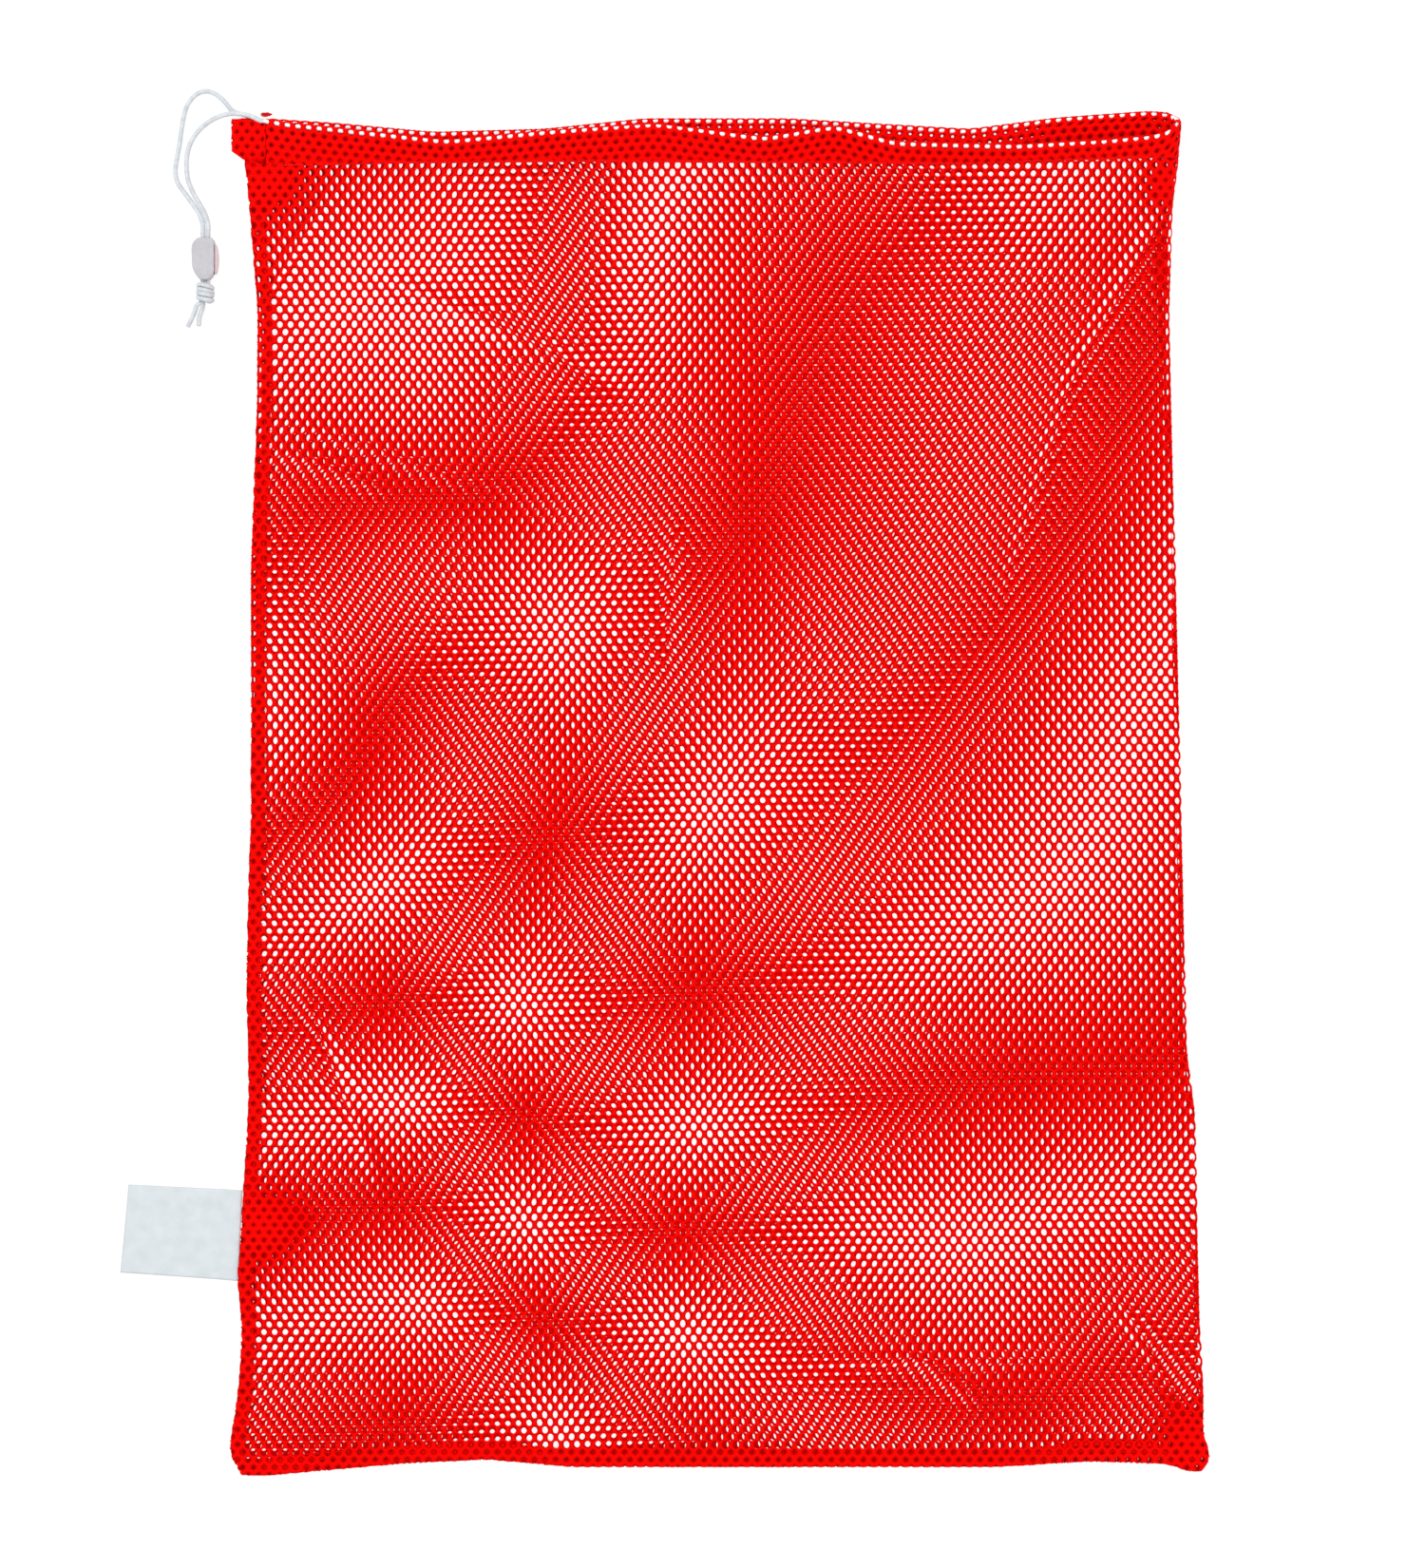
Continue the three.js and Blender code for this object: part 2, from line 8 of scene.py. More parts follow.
import bpy
import numpy as np
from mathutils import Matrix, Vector


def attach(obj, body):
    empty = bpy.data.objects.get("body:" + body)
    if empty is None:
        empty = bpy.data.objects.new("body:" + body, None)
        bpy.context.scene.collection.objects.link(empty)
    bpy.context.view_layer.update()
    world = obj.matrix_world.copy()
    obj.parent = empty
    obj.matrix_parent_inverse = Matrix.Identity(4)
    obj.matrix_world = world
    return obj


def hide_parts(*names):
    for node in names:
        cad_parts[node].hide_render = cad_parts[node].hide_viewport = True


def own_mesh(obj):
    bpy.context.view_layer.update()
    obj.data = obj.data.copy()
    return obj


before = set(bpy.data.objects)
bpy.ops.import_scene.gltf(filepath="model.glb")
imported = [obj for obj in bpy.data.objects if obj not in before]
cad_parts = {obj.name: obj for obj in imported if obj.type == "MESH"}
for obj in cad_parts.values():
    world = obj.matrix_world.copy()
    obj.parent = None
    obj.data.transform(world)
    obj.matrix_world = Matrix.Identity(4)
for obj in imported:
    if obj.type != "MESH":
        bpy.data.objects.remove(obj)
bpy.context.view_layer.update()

MM = 0.001

# ---------- the camera, straight above ----------
LENS = 100
SENSOR = 36
EYE = np.array([-1.6, 6.35, 2910.4])

# ---------- the knitted mesh ----------
PITCH = 7.09
ROW = 5.06
HOLE = (1.95, 2.53)
ALLOWANCE_HOLE = (0.7, 0.9)
TAB_HOLE = (0.6, 0.8)
STRAND_THICKNESS = 0.75
RING = 12

# ---------- the bag ----------
EDGE_THICKNESS = 4.6
FULL_THICKNESS = 18
PUFF_RUN = 70
MOUTH_LEFT_RUN = 45
MOUTH_RIGHT_RUN = 9
MOUTH_BLEND = 250
# How far the front layer stays under the CAD pouch's top, at the bag's edge and where it is thickest.
EDGE_BELOW = 0.45
FULL_BELOW = 2.1
SLACK_DROP = 6.5
CREASE_SHARE = 0.8
CREASE_PULL = 1.2
FLOOR_GAP = 0.5
FOLD_TURN_Z = 9
STITCH_Y = 424

# ---------- the seams ----------
ALLOWANCE_WIDTH = {"left": 8.4, "bottom": 10.6}
SIDE_INSET = 3.4
BOTTOM_INSET = 3.8
# How much smaller the holes are over the allowances, and where the sewing gathers the cloth.
ALLOWANCE_CLOSING = 0.5
GATHER_CLOSING = 0.78
OVERLOCK_STITCH = 2.6
OVERLOCK_WIDTH = 4.2
OVERLOCK_PAST_EDGE = 1.5
OVERLOCK_BELOW_FRONT = 1.45
NEEDLE_RISE = 0.75
# The turned edges: their radii, the heights that they drop to and how far the cloth runs on.
FRONT_TURN = 0.8
BACK_TURN = 0.55
SEAM_TURNED_Z = (2.7, 1.5)
TURNED_IN = 0.4
FOLD_TURN = 1.6
MOUTH_TURN = 6.6
FOLD_UNDER_Z = 1.25
BACK_SHORT = 2.0

HEM_LEFT = -300
HEM_TURN_X = 303
HEM_TURN_RADIUS = 6.4
HEM_BACK_Z = 2.6
HEM_FRONT_BELOW = 2.6
HEM_RADIUS = 2.1
HEM_PINCH = 0.5
UNDER_HEM = -2.0
HEM_STEP = 2.0
HEM_STITCH = 2.8
HEM_HOLE = (1.0, 1.05)
FOLD_HOLE_GROWTH = 1.85

CORD_DIAMETER = 3.2

# Outlines as [along, across] pairs.
LEFT_EDGE = [
    (-456, -315.5), (-448, -320.5), (-441, -325), (-430, -323.5), (-396, -318.3), (-359, -316.4),
    (-325, -319), (-262, -315), (-200, -311.5), (-120, -313.3), (-10, -310.2), (150, -310.2), (263, -306),
    (324, -305.8), (395, -311.5), (425, -314.6),
]
RIGHT_EDGE = [
    (-456, 321), (-453, 326), (-448, 330.5), (-442, 332), (-436, 328.5), (-427, 326.6), (-398, 326.6),
    (-352, 324), (-294, 322.6), (-214, 321), (-173, 315.6), (-136, 314.6), (149, 308), (217, 306),
    (321, 303.6), (393, 305.8), (425, 310),
]
BOTTOM_EDGE = [
    (-325, -455), (-302, -456), (-212, -448), (-152, -445), (-97, -450), (189, -450), (250, -446.4),
    (303, -448), (315, -452.6), (323, -454), (331, -451),
]
BACK_HEM_TOP = [
    (-300, 451), (-253, 448), (-188, 442), (-115, 444), (-47, 451), (50, 451), (170, 444), (228, 451.5),
    (291, 456), (313, 454),
]
FRONT_HEM_TOP = [
    (-300, 451), (-285, 448.5), (-269, 447), (-180, 437), (-110, 443.5), (-39, 448), (34, 439),
    (80, 447), (120, 436), (203, 434), (261, 437), (300, 441), (313, 450),
]
FRONT_HEM_LOW = [
    (-323, 419), (-290, 419), (-200, 421), (-90, 422), (60, 421), (170, 420), (240, 423), (323, 425),
]
BACK_HEM_LOW = [(-323, 422), (-150, 423), (0, 424), (150, 423), (323, 426)]

# How far the back layer's lattice is shifted from the front one's at some places, in steps of the lattice:
# x, y, steps along a row, steps up to the next row. The moire of light and dark patches comes from it.
LAYER_SHIFT = [
    (170, -300, 0, 0), (183, -240, -0.24, 0), (183, -360, 0.24, 0), (262, -305, 0.05, 0.22),
    (95, -292, 0.11, -0.24), (300, -180, -0.5, 0), (-295, -290, 1.55, -3.1),
    (-11, -222, 0, -1), (-132, -140, 0, -2), (-129, -286, 1, -2), (-21, -362, 1, -1), (-208, -206, 1, -3),
    (-198, -340, 2, -3), (-227, -64, 0, -3), (-2, -10, -1, -1), (-103, 111, -1, -2), (-224, 333, -2, -2),
    (-12, 385, -1.92, -0.9), (238, -50, -1, 0), (290, 50, -1, 0.05), (235, 385, -1.78, -0.14),
    (33, 182, -1.5, -0.95), (60, 265, -1.57, -0.85), (140, 200, -1.6, -0.5), (285, 320, -1.5, -0.1),
    (255, 190, -1.38, -0.12), (-217, 60, -0.55, -2.9), (-255, 185, -1.4, -2.15), (-290, 30, -0.8, -3.05),
    (95, 395, -1.7, -0.8), (-191, 264, -1.87, -1.95), (-273, 285, -1.85, -2.1), (-160, 382, -2.15, -1.8),
]

# Creases in the front layer: from x, y to x, y, height and half width.
CREASES = [
    (-288, 228, -225, 205, 2.6, 7), (-272, -140, -228, -250, 2.8, 7), (-300, 330, -262, 395, 2.2, 6),
    (275, -345, 318, -415, 3.0, 8), (130, -375, 175, -405, 2.6, 7), (75, -378, 220, -379, 2.2, 6),
    (-225, 345, -120, 300, 1.8, 9), (-120, 300, -60, 268, 1.6, 8), (-284, 249, -150, 201, 2.0, 6),
    (-28, 175, -31, 86, 2.4, 6), (298, 385, 240, 276, 2.6, 8), (238, 270, 195, 135, 1.8, 7),
]

# Where sewing gathers the cloth and closes its holes: x, y and how far it reaches.
GATHERS = [(-300, 410, 24), (-304, -288, 22), (318, -432, 20), (304, 408, 15)]

# ---------- cord routes, from the hem's end to the knot ----------
BACK_STRAND = [
    (-300.4, 448, 2.6), (-303, 448.3, 2.6), (-307.5, 450.6, 2.4), (-314, 453, 2), (-321.8, 455.6, 1.7),
    (-327, 461.4, 1.7), (-332.8, 466.6, 1.7), (-339.7, 469, 1.7), (-347, 466.4, 1.7), (-353, 458.5, 1.7),
    (-355.8, 447, 1.7), (-357.6, 434, 1.7), (-359.8, 422, 1.7), (-360.4, 414, 1.7), (-358.6, 407.4, 1.7),
    (-354.2, 401, 1.8), (-349.2, 394.2, 2.3), (-344.6, 387.2, 3.6), (-341.9, 380, 4.8), (-341.75, 372, 5),
    (-341.75, 357, 5), (-341.75, 341.95, 5),
]
FRONT_STRAND = [
    (-300.4, 448, 8.4), (-303, 448.3, 8.4), (-307.5, 450.6, 8.1), (-314, 452.6, 7.4), (-322, 453.4, 6.3),
    (-331, 451.6, 4.4), (-339.6, 447.2, 2.7), (-347, 440, 1.8), (-351.6, 431, 1.7), (-353, 421, 1.7),
    (-352.2, 411, 1.8), (-349.4, 403, 2.4), (-345, 395, 3.6), (-340.7, 387.4, 4.7), (-338.3, 380, 5),
    (-338.25, 372, 5), (-338.25, 357, 5), (-338.25, 341.95, 5),
]
FRONT_TAIL = [(-346, 326, 3.4), (-347.8, 321, 2.4), (-349.8, 316.6, 1.8), (-352, 312, 1.7)]
BACK_TAIL = [(-342, 324, 3.4), (-343.6, 320, 2.4), (-344.5, 316.4, 1.8), (-344.8, 312.6, 1.7)]


# ---------- small helpers ----------
def along(pairs, position):
    """Reads a list of (position, value) pairs, rounded off over a few millimetres at each corner."""
    places, values = np.array(pairs, float).T
    near = [np.interp(np.asarray(position) + step, places, values) for step in (-6, -3, 0, 3, 6)]
    return np.mean(near, axis=0)


def smoothstep(value, low, high):
    t = np.clip((value - low) / (high - low), 0, 1)
    return t * t * (3 - 2 * t)


def mix(a, b, t):
    return a + (b - a) * t


def as_seen(points):
    """Moves points so that, seen from the camera, they lie where their x and y are on the floor."""
    x, y, z = np.moveaxis(points, -1, 0)
    nearer = 1 - z / EYE[2]
    return np.stack([EYE[0] + (x - EYE[0]) * nearer, EYE[1] + (y - EYE[1]) * nearer, z], -1)


def make_object(name, points, faces, attributes=None):
    """A smooth mesh object from points in millimetres and faces of four; a triangle repeats its first."""
    mesh = bpy.data.meshes.new(name)
    present = np.ones(faces.shape, bool)
    present[:, 3] = faces[:, 3] != faces[:, 0]
    corners = faces[present]
    sizes = present.sum(1)
    mesh.vertices.add(len(points))
    mesh.vertices.foreach_set("co", (np.asarray(points) * MM).astype(np.float32).ravel())
    mesh.loops.add(len(corners))
    mesh.loops.foreach_set("vertex_index", corners.astype(np.int32))
    mesh.polygons.add(len(faces))
    mesh.polygons.foreach_set("loop_start", (np.cumsum(sizes) - sizes).astype(np.int32))
    mesh.update(calc_edges=True)
    mesh.validate()
    mesh.shade_smooth()
    for key, values in (attributes or {}).items():
        mesh.attributes.new(key, "FLOAT", "POINT").data.foreach_set("value", values.astype(np.float32))
    obj = bpy.data.objects.new(name, mesh)
    bpy.context.scene.collection.objects.link(obj)
    return obj


def catmull_rom(route, step):
    """Points about step apart on a smooth line through route."""
    route = np.array(route, float)
    ends = np.vstack([2 * route[0] - route[1], route, 2 * route[-1] - route[-2]])
    line = []
    for a, b, c, d in zip(ends, ends[1:], ends[2:], ends[3:]):
        count = max(2, round(np.linalg.norm(c - b) / step * 4))
        t = (np.arange(count) / count)[:, None]
        line.append(0.5 * (2 * b + (c - a) * t + (2 * a - 5 * b + 4 * c - d) * t**2
                           + (3 * b - 3 * c + d - a) * t**3))
    line = np.vstack([*line, route[-1:]])
    reach = np.append(0, np.cumsum(np.linalg.norm(np.diff(line, axis=0), axis=1)))
    even = np.linspace(0, reach[-1], max(3, round(reach[-1] / step) + 1))
    return np.stack([np.interp(even, reach, line[:, i]) for i in range(3)], -1)


def tube_arrays(line, radius, sides, relief=None):
    """Points, quads and attributes of a round tube along line, its ends rounded off and closed."""
    ahead = np.gradient(line, axis=0)
    ahead /= np.linalg.norm(ahead, axis=1)[:, None]
    across = np.cross(ahead[0], (0.13, 0.21, 0.97))
    frames = []
    for direction in ahead:
        across = across - direction * (across @ direction)
        across /= np.linalg.norm(across)
        frames.append((across, np.cross(direction, across)))
    reach = np.append(0, np.cumsum(np.linalg.norm(np.diff(line, axis=0), axis=1)))
    angle = np.arange(sides) * 2 * math.pi / sides
    size = np.full((len(line), sides), float(radius))
    if relief:
        size = size + relief(reach[:, None], angle[None, :])
    a, b = np.array([f[0] for f in frames]), np.array([f[1] for f in frames])
    rings = line[:, None, :] + size[..., None] * (
        a[:, None, :] * np.cos(angle)[None, :, None] + b[:, None, :] * np.sin(angle)[None, :, None])
    start, end = line[0] - ahead[0] * radius * 0.35, line[-1] + ahead[-1] * radius * 0.35
    caps = [np.tile(start, (sides, 1)), mix(rings[0], start, 0.35) - ahead[0] * radius * 0.2]
    tail = [mix(rings[-1], end, 0.35) + ahead[-1] * radius * 0.2, np.tile(end, (sides, 1))]
    rings = np.concatenate([np.stack(caps), rings, np.stack(tail)])
    count = len(rings)
    r, s = np.meshgrid(np.arange(count - 1), np.arange(sides), indexing="ij")
    nxt = (s + 1) % sides
    quads = np.stack([r * sides + s, r * sides + nxt, (r + 1) * sides + nxt, (r + 1) * sides + s], -1)
    reach = np.concatenate([[0, 0], reach, [reach[-1]] * 2])
    attributes = {"reach": np.repeat(reach, sides), "turn": np.tile(angle, count)}
    return rings.reshape(-1, 3), quads.reshape(-1, 4), attributes


def join_arrays(parts):
    """Several (points, faces, attributes) as one."""
    offset = np.cumsum([0] + [len(p[0]) for p in parts[:-1]])
    points = np.vstack([p[0] for p in parts])
    faces = np.vstack([p[1] + o for p, o in zip(parts, offset)])
    attributes = {key: np.concatenate([p[2][key] for p in parts]) for key in parts[0][2]}
    return points, faces, attributes


# ---------- camera, floor and light ----------
def set_camera():
    data = bpy.data.cameras.new("camera")
    data.lens = LENS
    data.sensor_fit = "VERTICAL"
    data.sensor_height = SENSOR
    data.clip_end = 20
    camera = bpy.data.objects.new("camera", data)
    camera.location = Vector(EYE) * MM
    bpy.context.scene.collection.objects.link(camera)
    bpy.context.scene.camera = camera


def set_stage():
    scene = bpy.context.scene
    scene.view_settings.view_transform = "Standard"
    scene.view_settings.look = "None"
    world = bpy.data.worlds.new("studio")
    world.use_nodes = True
    world.node_tree.nodes["Background"].inputs["Color"].default_value = (1, 1, 1, 1)
    world.node_tree.nodes["Background"].inputs["Strength"].default_value = 0.85
    scene.world = world
    half = 12000.0
    low = -0.02
    corners = np.array([(-half, -half, low), (half, -half, low), (half, half, low), (-half, half, low)])
    floor = make_object("studio_floor", corners, np.array([[0, 1, 2, 3]]))
    floor.data.materials.append(pale_floor())
    for name, place, size, power in (
        ("key_light", (-1.4, 1.5, 2.4), 1.6, 40),
        ("fill_light", (1.7, -0.8, 2.2), 2.2, 18),
    ):
        data = bpy.data.lights.new(name, "AREA")
        data.shape = "DISK"
        data.size = size
        data.energy = power
        light = bpy.data.objects.new(name, data)
        light.location = place
        light.rotation_euler = (-Vector(place)).to_track_quat("-Z", "Y").to_euler()
        scene.collection.objects.link(light)


# ---------- materials ----------
class Nodes:
    """A material's node tree with short ways to add and join its nodes."""

    def __init__(self, name):
        self.material = bpy.data.materials.new(name)
        self.material.use_nodes = True
        self.tree = self.material.node_tree
        self.shader = self.tree.nodes["Principled BSDF"]

    def add(self, kind, settings=None, **inputs):
        node = self.tree.nodes.new("ShaderNode" + kind)
        for key, value in (settings or {}).items():
            setattr(node, key, value)
        for key, value in inputs.items():
            self.set(node, key.replace("_", " "), value)
        return node

    def set(self, node, key, value):
        socket = node.inputs[int(key)] if key.isdigit() else node.inputs[key]
        if isinstance(value, bpy.types.NodeSocket):
            self.tree.links.new(value, socket)
        else:
            socket.default_value = value

    def math(self, operation, a, b=0.0, c=0.0):
        node = self.tree.nodes.new("ShaderNodeMath")
        node.operation = operation
        for i, value in enumerate((a, b, c)):
            self.set(node, str(i), value)
        return node.outputs[0]

    def attribute(self, name):
        return self.add("Attribute", {"attribute_name": name}).outputs["Fac"]

    def place(self, scale=1.0):
        """The point's own place on the object, in units of scale millimetres."""
        coordinates = self.add("TexCoord").outputs["Object"]
        return self.add("Mapping", Vector=coordinates, Scale=(1000 / scale,) * 3).outputs[0]

    def noise(self, scale, detail=2.0, roughness=0.5, **more):
        settings = {"Scale": 1.0, "Detail": detail, "Roughness": roughness, **more}
        return self.add("TexNoise", Vector=self.place(scale), **settings).outputs["Fac"]

    def ramp(self, fac, stops):
        node = self.add("ValToRGB", Fac=fac)
        elements = node.color_ramp.elements
        for i, (position, colour) in enumerate(stops):
            element = elements[i] if i < 2 else elements.new(position)
            element.position = position
            element.color = (*colour, 1)
        return node.outputs["Color"]

    def bump(self, height, distance, strength=1.0):
        bump = self.add("Bump", Height=height, Distance=distance * MM, Strength=strength)
        self.tree.links.new(bump.outputs[0], self.shader.inputs["Normal"])

    def finish(self, colour, roughness, **sockets):
        self.set(self.shader, "Base Color", colour)
        self.set(self.shader, "Roughness", roughness)
        for key, value in sockets.items():
            self.set(self.shader, key.replace("_", " "), value)
        return self.material


def linear(*rgb):
    """An sRGB colour from 0 to 255 in linear light."""
    return tuple(((c / 255 + 0.055) / 1.055) ** 2.4 if c > 10 else c / 255 / 12.92 for c in rgb)


def pale_floor():
    n = Nodes("pale_floor")
    tone = n.ramp(n.noise(400, 3), [(0.3, (0.16, 0.16, 0.16)), (0.7, (0.18, 0.18, 0.18))])
    n.set(n.shader, "Emission Color", (1, 1, 1, 1))
    return n.finish(tone, 0.9, Emission_Strength=0.86, Specular_IOR_Level=0.1)


def mesh_cloth(name, bright, dark):
    """Red warp-knitted polyester: chevrons of loops run along each strand, with a fine fuzz between them."""
    n = Nodes(name)
    strand, side = n.attribute("along"), n.attribute("across")
    chevron = n.math("MULTIPLY_ADD", side, 0.55, n.math("MULTIPLY", strand, 2.5))
    loops = n.math("SINE", n.math("MULTIPLY", chevron, 2 * math.pi))
    yarn = n.noise(0.35, 3, 0.65)
    height = n.math("MULTIPLY_ADD", loops, 0.5, yarn)
    n.bump(height, 0.16, 0.55)
    patches = n.noise(45, 2)
    shade = n.math("MULTIPLY_ADD", yarn, 0.55, n.math("MULTIPLY", patches, 0.35))
    shade = n.math("MULTIPLY_ADD", loops, 0.10, shade)
    colour = n.ramp(shade, [(0.25, dark), (0.62, bright)])
    rough = n.math("MULTIPLY_ADD", yarn, 0.2, 0.62)
    return n.finish(colour, rough, Specular_IOR_Level=0.03)


def sewing_thread():
    n = Nodes("red_thread")
    twist = n.math("SINE", n.math("MULTIPLY_ADD", n.attribute("reach"), 9.0, n.attribute("turn")))
    n.bump(twist, 0.06, 0.6)
    tone = n.math("MULTIPLY_ADD", twist, 0.3, n.noise(1.5))
    colour = n.ramp(tone, [(0.1, (0.42, 0.002, 0.003)), (0.9, (0.86, 0.004, 0.005))])
    return n.finish(colour, 0.6, Specular_IOR_Level=0.2)


def elastic_cord(name, dark, bright):
    """White braided cover of an elastic cord: the braid is in the mesh, the yarns' filaments in the bump."""
    n = Nodes(name)
    run = n.math("MULTIPLY", n.attribute("reach"), 14.0)
    turn = n.math("MULTIPLY", n.attribute("turn"), 8.0)
    filaments = n.math("ADD", n.math("SINE", n.math("ADD", run, turn)),
                       n.math("SINE", n.math("SUBTRACT", run, turn)))
    height = n.math("MULTIPLY_ADD", filaments, 0.3, n.noise(0.3, 3))
    n.bump(height, 0.08, 0.5)
    tone = n.math("MULTIPLY_ADD", filaments, 0.12, n.noise(4, 3))
    colour = n.ramp(tone, [(0.2, dark), (0.75, bright)])
    return n.finish(colour, 0.75, Specular_IOR_Level=0.25)


def moulded_plastic(name, dark, bright, roughness):
    n = Nodes(name)
    flow = n.noise(6, 4, 0.6, Distortion=0.6)
    grain = n.noise(0.5, 2)
    n.bump(n.math("MULTIPLY_ADD", grain, 0.4, flow), 0.12, 0.25)
    colour = n.ramp(flow, [(0.3, dark), (0.7, bright)])
    rough = n.math("MULTIPLY_ADD", grain, 0.15, roughness)
    return n.finish(colour, rough, Specular_IOR_Level=0.5, Subsurface_Weight=0.15, Subsurface_Scale=0.002)


def spring_steel():
    n = Nodes("spring_steel")
    drawn = n.noise(0.3, 3)
    n.bump(drawn, 0.03, 0.4)
    colour = n.ramp(drawn, [(0.3, (0.36, 0.37, 0.39)), (0.7, (0.62, 0.63, 0.65))])
    return n.finish(colour, n.math("MULTIPLY_ADD", drawn, 0.25, 0.2), Metallic=1.0)


def label_cloth():
    """Soft white non-woven: pressed fibres lying every way, with faint clouds where it is thicker."""
    n = Nodes("label_nonwoven")
    fibres = n.noise(0.9, 5.0, 0.7, Distortion=2.5)
    clouds = n.noise(9, 3)
    dents = n.add("TexVoronoi", {"feature": "SMOOTH_F1"}, Vector=n.place(1.3), Scale=1.0).outputs["Distance"]
    height = n.math("MULTIPLY_ADD", dents, 0.5, fibres)
    n.bump(height, 0.14, 0.5)
    tone = n.math("MULTIPLY_ADD", fibres, 0.45, n.math("MULTIPLY", clouds, 0.55))
    colour = n.ramp(tone, [(0.3, linear(194, 201, 204)), (0.7, linear(210, 216, 219))])
    return n.finish(colour, 0.9, Specular_IOR_Level=0.1)


# ---------- the shape of the bag ----------
def left_at(y):
    return along(LEFT_EDGE, y)


def right_at(y):
    return along(RIGHT_EDGE, y)


def bottom_at(x):
    return along(BOTTOM_EDGE, x)


def rounded(distance, run):
    return np.sin(math.pi / 2 * np.clip(distance / run, 0, 1))


def puff(x, y):
    """The CAD pouch's own height over the floor at x, y."""
    towards_mouth = smoothstep(y, STITCH_Y - MOUTH_BLEND, STITCH_Y)
    left = rounded(x - left_at(y), mix(PUFF_RUN, MOUTH_LEFT_RUN, towards_mouth))
    right = rounded(right_at(y) - x, mix(PUFF_RUN, MOUTH_RIGHT_RUN, towards_mouth))
    bottom = rounded(y - bottom_at(x), PUFF_RUN)
    return EDGE_THICKNESS + (FULL_THICKNESS - EDGE_THICKNESS) * left * right * bottom


def ripples(x, y):
    """Low, wide waves of cloth that lies slack, from 0 to 1."""
    a = np.sin(x / 47 + y / 83 + 0.6) * np.sin(y / 61 - x / 140)
    b = np.sin(x / 29 - y / 35 + 1.9) * 0.45
    c = np.sin(x / 18 + y / 24 + 0.3) * np.sin(x / 90 - y / 70) * 0.3
    return 0.5 + (a + b + c) / 3.5


def beside_crease(x, y, x0, y0, x1, y1):
    """Where points are beside a crease: the distance aside, its strength there, and its direction."""
    run = math.hypot(x1 - x0, y1 - y0)
    ax, ay = (x1 - x0) / run, (y1 - y0) / run
    forward = ((x - x0) * ax + (y - y0) * ay) / run
    strength = smoothstep(forward, -0.25, 0.2) * (1 - smoothstep(forward, 0.8, 1.25))
    return (y - y0) * ax - (x - x0) * ay, strength, ax, ay


def creases(x, y):
    """Sharper folds pressed into the front layer."""
    height = np.zeros_like(x)
    for x0, y0, x1, y1, rise, half_width in CREASES:
        aside, strength, _, _ = beside_crease(x, y, x0, y0, x1, y1)
        across = aside / half_width
        height += rise * strength * np.exp(-(across**2)) * (1 - 0.6 * np.tanh(across))
    return height


def edge_distance(x, y):
    return np.minimum(np.minimum(x - left_at(y), right_at(y) - x), y - bottom_at(x))


def front_height(x, y):
    fullness = (puff(x, y) - EDGE_THICKNESS) / (FULL_THICKNESS - EDGE_THICKNESS)
    top = mix(EDGE_THICKNESS - EDGE_BELOW, FULL_THICKNESS - FULL_BELOW, fullness)
    slack = smoothstep(edge_distance(x, y), 5, 60) * (1 - smoothstep(y, 380, STITCH_Y))
    return top - slack * (SLACK_DROP * (1 - ripples(x, y)) - CREASE_SHARE * creases(x, y))


def back_height(x, y):
    lift = (HEM_BACK_Z - HEM_PINCH - FLOOR_GAP) * smoothstep(y, STITCH_Y - 30, STITCH_Y)
    return FLOOR_GAP + lift + 0.35 * ripples(y, x)


def thin_plate(places, values):
    """A smooth field that takes the given values at the given places."""
    scale = 100.0
    places = places / scale

    def kernel(a):
        d2 = ((a[:, None, :] - places[None]) ** 2).sum(-1)
        return 0.5 * d2 * np.log(np.maximum(d2, 1e-18))

    flat = np.c_[np.ones(len(places)), places]
    system = np.block([[kernel(places), flat], [flat.T, np.zeros((3, 3))]])
    weights = np.linalg.solve(system, np.vstack([values, np.zeros((3, 2))]))

    def field(points):
        points = points / scale
        return kernel(points) @ weights[:-3] + np.c_[np.ones(len(points)), points] @ weights[-3:]

    return field


shift_table = np.array(LAYER_SHIFT, float)
row_step, up_step = np.array([PITCH, 0.0]), np.array([PITCH / 2, ROW])
layer_shift = thin_plate(shift_table[:, :2], shift_table[:, 2:3] * row_step + shift_table[:, 3:] * up_step)


